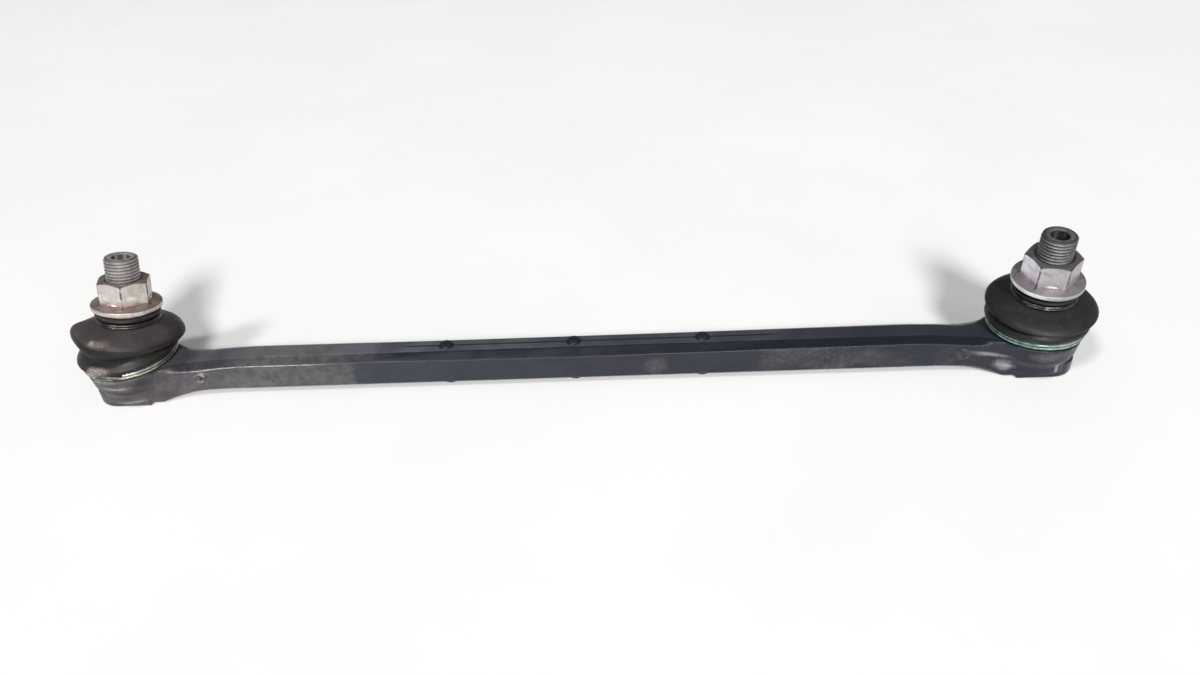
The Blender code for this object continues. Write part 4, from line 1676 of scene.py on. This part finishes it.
@dataclass
class DustBoot:
    """A rubber boot of two folds that bends from the upright housing to the leaning stud.

    Attributes:
        end: The end it belongs to.
        rim: Radius of the upper fold.
        rim_height: Height of the upper fold's rim over the ball centre.
        dents: Where it is out of round.
        play: How far dents lift the rim; not used.
        wall: Thickness of the rubber.
        groove: Radius between the folds.
        shoulder: Radius and height of the boot's shoulder; the height ends the inner face of the foot, and
            the radius goes into a value that nothing uses.
        lower_fold: Radius of the lower fold.
        collar: Inner and outer radius of the boot's foot.
        foot: Height of the boot's lower edge over the ball centre.
        neck: Inner and outer radius of the neck.
        neck_bottom: Height where the neck starts.
        top: Height of the lip's upper face.
        steps: Facets round the boot.
    """

    end: EndPlace
    rim: float
    rim_height: float
    dents: tuple[Dent, ...] = ()
    play: float = 0.0
    wall: float = 0.0015
    groove: float = 0.0165
    shoulder: Point = (0.0165, 0.0078)
    lower_fold: float = 0.0182
    collar: Point = (0.0145, 0.0160)
    foot: float = 0.0044
    neck: Point = (0.0083, 0.0102)
    neck_bottom: float = 0.0196
    top: float = 0.0235
    steps: int = 144

    def lower_profile(self) -> list[Point]:
        """Return the closed outline from the foot up to the upper fold's rim.

        Returns:
            Points of radius and height.
        """
        low = 0.0075
        rim = self.rim
        groove = self.rim_height - 0.0030
        span = groove - low
        fold = self.lower_fold
        inside, outside = self.collar
        outer = [(rim, self.rim_height), (rim - 0.0001, self.rim_height - 0.0007),
                 (rim - 0.0009, self.rim_height - 0.0014), (self.groove + 0.0006, groove + 0.0010),
                 (self.groove, groove), (fold - 0.0009, low + 0.68 * span),
                 (fold - 0.0001, low + 0.42 * span), (fold, low + 0.2 * span),
                 (fold - 0.0006, low + 0.02 * span), (outside + 0.0002, low - 0.0003)]
        foot = [(outside, self.foot + 0.0004), (outside - 0.0003, self.foot), (inside + 0.0003, self.foot),
                (inside, self.foot + 0.0003), (inside, self.shoulder[1])]
        inner = [(fold - self.wall - 0.0002, low + 0.34 * span), (self.groove - self.wall, groove),
                 (rim - self.wall - 0.0002, self.rim_height)]
        return flowing(outer, 5) + foot + flowing(inner, 5)

    def upper_profile(self) -> list[Point]:
        """Return the closed outline from the upper fold's rim to the lip under the collar.

        Returns:
            Points of radius and height.
        """
        rim = self.rim
        under = rim - self.wall
        rise = self.rim_height
        span = self.neck_bottom - rise
        inside, neck = self.neck
        lip = [(inside + 0.0003, self.top), (0.0112, self.top), (0.0115, self.top - 0.0003),
               (0.0115, self.top - 0.0009), (neck + 0.0003, self.top - 0.0015), (neck, self.top - 0.0018),
               (neck, self.neck_bottom + 0.0003)]
        outer = [(neck + 0.0004, self.neck_bottom), (neck + 0.0014, self.neck_bottom),
                 (rim - 0.0053, rise + 0.75 * span), (rim - 0.0026, rise + 0.48 * span),
                 (rim - 0.0008, rise + 0.22 * span), (rim, rise)]
        inner = [(under - 0.0002, rise), (under - 0.0027, rise + 0.42 * span),
                 (under - 0.0058, rise + 0.66 * span), (neck, self.neck_bottom - self.wall),
                 (inside, self.neck_bottom - self.wall / 2), (inside, self.top - 0.0003)]
        return lip + flowing(outer, 6) + flowing(inner, 5)

    def bend(self, boot: Piece) -> None:
        """Note how deep each point lies in the groove, dent the boot, and lean it as the stud leans.

        Args:
            boot: Boot piece in the housing's frame.
        """
        start = self.rim_height - 0.0045
        groove = self.rim_height - 0.0026
        depths = boot.data.attributes.new(GROOVE, "FLOAT", "POINT")
        for vertex in boot.data.vertices:
            radius = math.hypot(vertex.co.x, vertex.co.y)
            side = self.rim_height - groove if vertex.co.z > groove else 0.0019
            depth = smooth_step(1 - abs(vertex.co.z - groove) / side)
            depths.data[vertex.index].value = depth * smooth_step((self.rim + 0.0002 - radius) / 0.0008)
            share = smooth_step((vertex.co.z - start) / (self.rim_height - start))
            point = vertex.co.copy()
            away = Vector((point.x, point.y, 0.0)).normalized()
            for dent in self.dents:
                weight = dent.weight(vertex.co)
                point += away * (dent.out * weight) + Vector((0.0, 0.0, dent.up * weight))
            vertex.co = self.end.lean(share) @ point

    def build(self, rubber: Material) -> None:
        """Make both bellows of the boot.

        Args:
            rubber: Its finish.
        """
        end = self.end
        ball = end.ball
        names = {"lower": self.lower_profile(), "upper": self.upper_profile()}
        for part, profile in names.items():
            boot = Bench.turned(end.name(f"boot_{part}_fold"), profile, self.steps, closed=True)
            self.bend(boot)
            Bench.place(boot, end.upright_matrix())
            Bench.shade(boot, 50.0)
            Bench.dress(boot, rubber)
            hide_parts(end.name("dust_boot"))
            end.name("dust_boot")
            if part == "lower":
                radius, height = self.shoulder
                still = height * end.axis.z + radius * math.hypot(end.axis.x, end.axis.y)
                end.name("boot_body")
                ball + end.axis * still
                ball + end.axis * self.rim_height
                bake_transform(boot)
            else:
                end.name("boot_body")
                end.name("boot_neck")
                ball + end.axis * (self.rim_height + self.play)
                ball + end.axis * self.neck_bottom
                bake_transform(boot)
            LOG.info("%s: %d faces", boot.name, len(boot.data.polygons))


@dataclass
class ClampRing:
    """Two turns of spring wire wound round the boot.

    Attributes:
        end: The end it belongs to.
        part: Name of the ring's node.
        body: Name of the body that carries it.
        matrix: Place of the ring's frame.
        radius: Radius of the wire's middle line.
        bottom: Height of its underside over the ball centre.
        wire: Thickness of the wire.
        start: Angle where the wire starts, in degrees.
    """

    end: EndPlace
    part: str
    body: str
    matrix: Matrix
    radius: float
    bottom: float
    wire: float
    start: float = 0.0

    def wind(self, ring: Piece, angle: float, steps: int, rise: float = 0.0) -> None:
        """Spin the open end of the wire on, and lift it as it goes.

        Args:
            ring: The wire in edit mode, its open end selected.
            angle: How far to go round, in degrees.
            steps: In how many pieces.
            rise: How far the wire climbs on the way.
        """
        for _ in range(steps):
            bpy.ops.mesh.spin(steps=1, angle=math.radians(angle / steps), center=(0.0, 0.0, 0.0), axis=UP)
            if rise:
                bpy.ops.transform.translate(value=(0.0, 0.0, rise / steps))

    def build(self, finish: Material) -> None:
        """Wind the ring: a level turn, a short climb and a second level turn.

        Args:
            finish: Finish of the wire.
        """
        bpy.ops.object.select_all(action="DESELECT")
        bpy.ops.mesh.primitive_circle_add(vertices=14, radius=self.wire / 2)
        ring = bpy.context.object
        ring.name = self.end.name(self.part.replace("clamp_ring", "wire_ring"))
        ring.rotation_euler = (math.radians(90.0), 0.0, 0.0)
        ring.location = (self.radius, 0.0, self.bottom + self.wire / 2)
        bpy.ops.object.transform_apply(location=True, rotation=True, scale=True)
        bpy.ops.object.mode_set(mode="EDIT")
        bpy.ops.mesh.select_all(action="SELECT")
        self.wind(ring, 348.0, 90)
        self.wind(ring, 24.0, 10, self.wire)
        self.wind(ring, 336.0, 90)
        bpy.ops.mesh.select_mode(type="EDGE")
        bpy.ops.mesh.select_all(action="DESELECT")
        bpy.ops.mesh.select_non_manifold()
        bpy.ops.mesh.edge_face_add()
        Bench.face_outwards()
        Bench.place(ring, self.matrix @ Matrix.Rotation(math.radians(self.start), 4, "Z"))
        Bench.shade(ring, 50.0)
        Bench.dress(ring, finish)
        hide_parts(self.end.name(self.part))
        self.end.name(self.part)
        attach(ring, self.body)
        LOG.info("%s: %d faces", ring.name, len(ring.data.polygons))


@dataclass(frozen=True)
class Lamp:
    """A soft round lamp.

    Attributes:
        name: Its name.
        place: Where it hangs.
        power: Its power in watts.
        size: Its width.
        colour: Colour of its light.
    """

    name: str
    place: Place
    power: float
    size: float
    colour: Colour


@dataclass
class Studio:
    """Pale floor, soft lamps and the camera of the photograph.

    Attributes:
        middle: Place on the floor that it is centred on and that the lamps aim at.
        floor_size: Side of the floor.
        floor_colour: Colour of the floor.
        floor_glow: Share of plain white that eyes, mirrors and glass see in the floor.
        camera_place: Place of the camera.
        pitch: How far the camera looks down, in degrees.
        yaw: How far it is turned from +Y towards +X, in degrees.
        roll: How far it is turned about its own view, in degrees.
        lens: Focal length on a 36 mm wide sensor.
        lamps: The soft lamps.
        sky: Level of the light from all sides.
    """

    middle: Place = (0.17, 0.0, 0.0)
    floor_size: float = 9.0
    floor_colour: Colour = (0.905, 0.905, 0.898)
    floor_glow: float = 0.08
    camera_place: Place = (0.19785, -0.29196, 0.21733)
    pitch: float = 34.42
    yaw: float = -2.98
    roll: float = -3.63
    lens: float = 27.949
    lamps: tuple[Lamp, ...] = (
        Lamp("front_softbox", (1.50, -8.07, 5.76), 1040.0, 2.00, (1.0, 0.985, 0.96)),
        Lamp("left_softbox", (-3.63, -4.80, 8.00), 400.0, 1.60, (0.94, 0.97, 1.0)),
        Lamp("right_softbox", (5.77, -5.60, 6.10), 60.0, 4.40, (1.0, 0.96, 0.91)),
    )
    sky: float = 0.17

    def build_floor(self) -> None:
        """Lay the pale floor."""
        bpy.ops.object.select_all(action="DESELECT")
        bpy.ops.mesh.primitive_plane_add(size=self.floor_size, location=self.middle)
        floor = bpy.context.object
        floor.name = "floor"
        bpy.ops.object.transform_apply(location=True, rotation=True, scale=True)
        material = bpy.data.materials.new("pale_floor")
        material.use_nodes = True
        wiring = Wiring(material.node_tree)
        shader = material.node_tree.nodes["Principled BSDF"]
        place = wiring.node("ShaderNodeTexCoord").outputs["Object"]
        shade = wiring.remap(wiring.noise(place, 7.0, 4.0, 0.55), 0.3, 0.7)
        darker = tuple(channel * 0.965 for channel in self.floor_colour)
        wiring.feed(shader.inputs["Base Color"], wiring.mix(shade, darker, self.floor_colour))
        shader.inputs["Roughness"].default_value = 0.75
        shader.inputs["Specular IOR Level"].default_value = 0.2
        rays = wiring.node("ShaderNodeLightPath").outputs
        seen = wiring.most(rays["Is Camera Ray"], rays["Is Glossy Ray"], rays["Is Transmission Ray"])
        glow = wiring.node("ShaderNodeEmission")
        blend = wiring.node("ShaderNodeMixShader")
        wiring.feed(blend.inputs[0], wiring.times(seen, self.floor_glow))
        wiring.feed(blend.inputs[1], shader.outputs[0])
        wiring.feed(blend.inputs[2], glow.outputs[0])
        wiring.feed(material.node_tree.nodes["Material Output"].inputs["Surface"], blend.outputs[0])
        Bench.dress(floor, material)

    def build_world(self) -> None:
        """Light the scene from all sides."""
        world = bpy.data.worlds.new("studio")
        bpy.context.scene.world = world
        world.use_nodes = True
        wiring = Wiring(world.node_tree)
        background = world.node_tree.nodes["Background"]
        seen = wiring.node("ShaderNodeLightPath").outputs["Is Camera Ray"]
        level = wiring.remap(seen, 0.0, 1.0, self.sky, 1.0)
        wiring.feed(background.inputs["Strength"], level)
        background.inputs["Color"].default_value = (1.0, 1.0, 1.0, 1.0)

    def build_lamps(self) -> None:
        """Hang the soft lamps."""
        for lamp in self.lamps:
            light = bpy.data.lights.new(lamp.name, "AREA")
            light.energy = lamp.power
            light.shape = "DISK"
            light.size = lamp.size
            light.color = lamp.colour
            holder = bpy.data.objects.new(lamp.name, light)
            holder.location = lamp.place
            ahead = Vector(self.middle) - Vector(lamp.place)
            holder.rotation_euler = ahead.to_track_quat("-Z", "Y").to_euler()
            bpy.context.scene.collection.objects.link(holder)

    def build_camera(self) -> None:
        """Set the camera where the photograph was taken from."""
        pitch, yaw, roll = (math.radians(angle) for angle in (self.pitch, self.yaw, self.roll))
        ahead = Vector((math.sin(yaw) * math.cos(pitch), math.cos(yaw) * math.cos(pitch), -math.sin(pitch)))
        right = Vector((math.cos(yaw), -math.sin(yaw), 0.0))
        up = right.cross(ahead)
        side = right * math.cos(roll) + up * math.sin(roll)
        upward = up * math.cos(roll) - right * math.sin(roll)
        camera = bpy.data.cameras.new("camera")
        camera.lens = self.lens
        camera.sensor_width = 36.0
        camera.clip_start = 0.01
        holder = bpy.data.objects.new("camera", camera)
        turned = Matrix((side, upward, -ahead)).transposed().to_4x4()
        holder.matrix_world = Matrix.Translation(self.camera_place) @ turned
        bpy.context.scene.collection.objects.link(holder)
        bpy.context.scene.camera = holder

    def build(self) -> None:
        """Set up floor, light and camera."""
        self.build_floor()
        self.build_world()
        self.build_lamps()
        self.build_camera()
        bpy.context.scene.view_settings.view_transform = "Standard"


def clear_starting_scene() -> None:
    """Remove the cube, lamp and camera that a new scene starts with."""
    for name in ("Cube", "Light", "Camera"):
        found = bpy.data.objects.get(name)
        if found is not None:
            bpy.data.objects.remove(found, do_unlink=True)


def bar_finishes(effects: Effects) -> tuple[Material, Material, tuple[Material, Material]]:
    """Mix the plastics of the bar.

    Args:
        effects: The shared node groups.

    Returns:
        The finishes of the moulding, of its pads, and of the left and the right ejector mark.
    """
    moulding = MouldedPlastic(
        "moulded_plastic", effects,
        # The first scuff is wear; the other three are painted highlights on the right neck and foot.
        scuffs_and_highlights=(Spot((0.0030, -0.0150, 0.0032), (0.0100, 0.004, 0.0016), 0.40),
                Spot((0.3255, -0.0115, 0.0096), (0.0105, 0.008, 0.0013), 0.40),
                Spot((0.3318, -0.0115, 0.0056), (0.0050, 0.005, 0.0030), 0.50),
                Spot((0.3505, -0.0125, 0.0055), (0.0012, 0.006, 0.0044), 0.50)),
        smudges=(Spot((0.2035, -0.0070, 0.0080), (0.0055, 0.004, 0.0050), 0.32),
                 Spot((0.3450, -0.0165, 0.0125), (0.0090, 0.004, 0.0030), 0.45)),
        # The second and third dark spots are painted shade in the housings' waist grooves.
        dark_spots_and_shade=(Spot((0.0090, -0.0150, 0.0120), (0.0075, 0.005, 0.0035), 0.70),
              Spot((0.0000, -0.0145, 0.0086), (0.0190, 0.008, 0.0018), 0.75),
              Spot((0.3450, -0.0145, 0.0074), (0.0190, 0.008, 0.0012), 0.70),
              Spot((0.0150, -0.0120, 0.0040), (0.0060, 0.006, 0.0030), 0.45)),
        grazes=(Spot((-0.0050, -0.0160, 0.0150), (0.0085, 0.005, 0.0011), 0.34),
                Spot((-0.0015, -0.0162, 0.0116), (0.0090, 0.004, 0.0009), 0.34))).build()
    pads = MouldedPlastic("dark_plastic", effects, base=(0.006, 0.007, 0.011), film=0.05,
                          right_span=(0.9, 0.9)).build()
    left_mark = MouldedPlastic(
        "left_mark_plastic", effects, dust=(0.150, 0.125, 0.118), film=0.0, left_end=0.05,
        # Painted shade in the mark's hollow centre and painted shadow beside its ring.
        dark_spots_and_shade=(Spot((0.0278, -0.0072, 0.0090), (0.0016, 0.004, 0.0016), 0.85),
              Spot((0.0301, -0.0072, 0.0105), (0.0014, 0.004, 0.0016), 0.65))).build()
    right_mark = MouldedPlastic(
        "right_mark_plastic", effects, base=(0.052, 0.053, 0.054), dust=(0.115, 0.115, 0.110), film=0.0,
        right_span=(0.24, 0.36),
        # Painted shade in the mark's hollow centre and painted shadow beside its ring.
        dark_spots_and_shade=(Spot((0.3180, -0.0072, 0.0096), (0.0014, 0.004, 0.0012), 0.8),
              Spot((0.3165, -0.0072, 0.0105), (0.0018, 0.004, 0.0012), 0.6))).build()
    return moulding, pads, (left_mark, right_mark)


@dataclass(frozen=True)
class EndFinishes:
    """The finishes of the pieces at one end.

    Attributes:
        steel: Finish of the ball stud.
        zinc: Finish of the nut.
        rubber: Finish of the boot.
        lower_wire: Finish of the lower clamp ring.
        upper_wire: Finish of the upper clamp ring.
    """

    steel: StudSteel
    zinc: NutZinc
    rubber: BootRubber
    lower_wire: CoatedWire
    upper_wire: CoatedWire


def left_finishes(effects: Effects, nut: FlangeNut) -> EndFinishes:
    """Mix the finishes of the left end: pale steel, beige zinc and dusty rubber.

    Args:
        effects: The shared node groups.
        nut: The nut at this end.

    Returns:
        The finishes.
    """
    return EndFinishes(
        steel=StudSteel("pale_stud_steel", effects, nut.end.stud_matrix(), base=(0.68, 0.645, 0.64),
                        stain=(0.46, 0.43, 0.425), dirt_and_shade=(0.09, 0.08, 0.075)),
        zinc=NutZinc("beige_zinc", effects, nut.matrix(), nut.turn),
        rubber=BootRubber("worn_rubber", effects, base=(0.045, 0.0355, 0.038), dust=(0.078, 0.064, 0.064),
                          cover=0.45, side_shade=0.88,
                          spots=(Spot((-0.0010, -0.0148, 0.0315), (0.0052, 0.004, 0.0012), 0.45),
                                 Spot((-0.0035, -0.0140, 0.0318), (0.0016, 0.003, 0.0008), 0.8),
                                 Spot((-0.0092, -0.0107, 0.0350), (0.0012, 0.002, 0.0010), 0.8),
                                 Spot((-0.0040, -0.0168, 0.0208), (0.0062, 0.004, 0.0019), 1.0))),
        lower_wire=CoatedWire("olive_wire", effects, coat=(0.110, 0.118, 0.085), bare=(0.46, 0.47, 0.42),
                              wear=0.5),
        upper_wire=CoatedWire("bare_wire", effects, coat=(0.085, 0.078, 0.073), bare=(0.28, 0.26, 0.25),
                              metallic=0.9))


def right_finishes(effects: Effects, nut: FlangeNut) -> EndFinishes:
    """Mix the finishes of the right end: dark steel, lilac zinc and clean rubber.

    Args:
        effects: The shared node groups.
        nut: The nut at this end.

    Returns:
        The finishes.
    """
    return EndFinishes(
        steel=StudSteel("dark_stud_steel", effects, nut.end.stud_matrix(), base=(0.29, 0.29, 0.30),
                        stain=(0.19, 0.19, 0.20), dirt_and_shade=(0.035, 0.034, 0.035)),
        # This nut's lit flank gets painted light, and its crown painted shade and dirt.
        zinc=NutZinc("lilac_zinc", effects, nut.matrix(), nut.turn, base=(0.43, 0.415, 0.425),
                     warm=(0.39, 0.365, 0.35), grime_and_shade=(0.26, 0.245, 0.255), dirt_and_shade=(0.08, 0.065, 0.065),
                     blush=(0.72, 0.30, 0.45), shine=(0.45, 0.41, 0.43), clean=0.9, crown=0.75),
        rubber=BootRubber("dark_rubber", effects, base=(0.0150, 0.0145, 0.0170), dust=(0.036, 0.033, 0.033),
                          cover=0.3, spots=(Spot((0.3370, -0.0170, 0.0195), (0.0040, 0.004, 0.0014), 0.12),
                                            Spot((0.3500, -0.0176, 0.0195), (0.0050, 0.004, 0.0016), 0.10))),
        lower_wire=CoatedWire("green_wire", effects, coat=(0.055, 0.110, 0.085), bare=(0.32, 0.44, 0.37),
                              wear=0.55),
        upper_wire=CoatedWire("dark_wire", effects, coat=(0.040, 0.038, 0.038), bare=(0.27, 0.265, 0.265),
                              wear=0.3, metallic=0.9))


def main() -> None:
    """Load the frame, build every sub-assembly over it and light it."""
    logging.basicConfig(level=logging.INFO, format="%(name)s: %(message)s")
    clear_starting_scene()
    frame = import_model()
    left = EndPlace(Side.LEFT, 0.0, 7.3, -10.4)
    right = EndPlace(Side.RIGHT, BarMoulding.length, -1.0, 5.1)
    effects = Effects()

    plastic, pads, marks = bar_finishes(effects)
    BarMoulding((left, right)).build(frame["nodes"]["link_bar"], plastic, pads, marks)

    nuts = {Side.LEFT: FlangeNut(left, turn=-13.0), Side.RIGHT: FlangeNut(right, turn=-15.0)}
    finishes = {Side.LEFT: left_finishes(effects, nuts[Side.LEFT]),
                Side.RIGHT: right_finishes(effects, nuts[Side.RIGHT])}
    dents = (Dent(-148.0, 46.0, 0.0156, 0.0052, 0.0, 0.0030),
             Dent(-148.0, 40.0, 0.0118, 0.0024, -0.0015, 0.0024),
             Dent(-92.0, 50.0, 0.0160, 0.0034, -0.0006, 0.0009),
             Dent(-92.0, 48.0, 0.0116, 0.0028, 0.0002, -0.0013),
             Dent(34.0, 55.0, 0.0146, 0.0036, -0.0011, 0.0),
             Dent(34.0, 55.0, 0.0090, 0.0030, 0.0009, 0.0))
    boots = {Side.LEFT: DustBoot(left, rim=0.0203, rim_height=0.0146, dents=dents, play=0.0020),
             Side.RIGHT: DustBoot(right, rim=0.0193, rim_height=0.0153)}
    wire_starts = {Side.LEFT: -87.0, Side.RIGHT: 95.0}
    seat = SeatPlastic("seat_plastic", effects).build()
    for end in (left, right):
        looks = finishes[end.side]
        BallStud(end).build(looks.steel.build())
        nuts[end.side].build(looks.zinc.build())
        boots[end.side].build(looks.rubber.build())
        ClampRing(end, "lower_clamp_ring", "link", end.upright_matrix(), radius=0.01685, bottom=0.0050,
                  wire=0.0011, start=wire_starts[end.side]).build(looks.lower_wire.build())
        ClampRing(end, "upper_clamp_ring", end.name("boot_neck"), end.stud_matrix(), radius=0.01095,
                  bottom=0.0199, wire=0.0009, start=100.0).build(looks.upper_wire.build())
        Bench.dress(frame["nodes"][end.name("ball_seat")], seat)

    Studio().build()


if __name__ == "__main__":
    main()
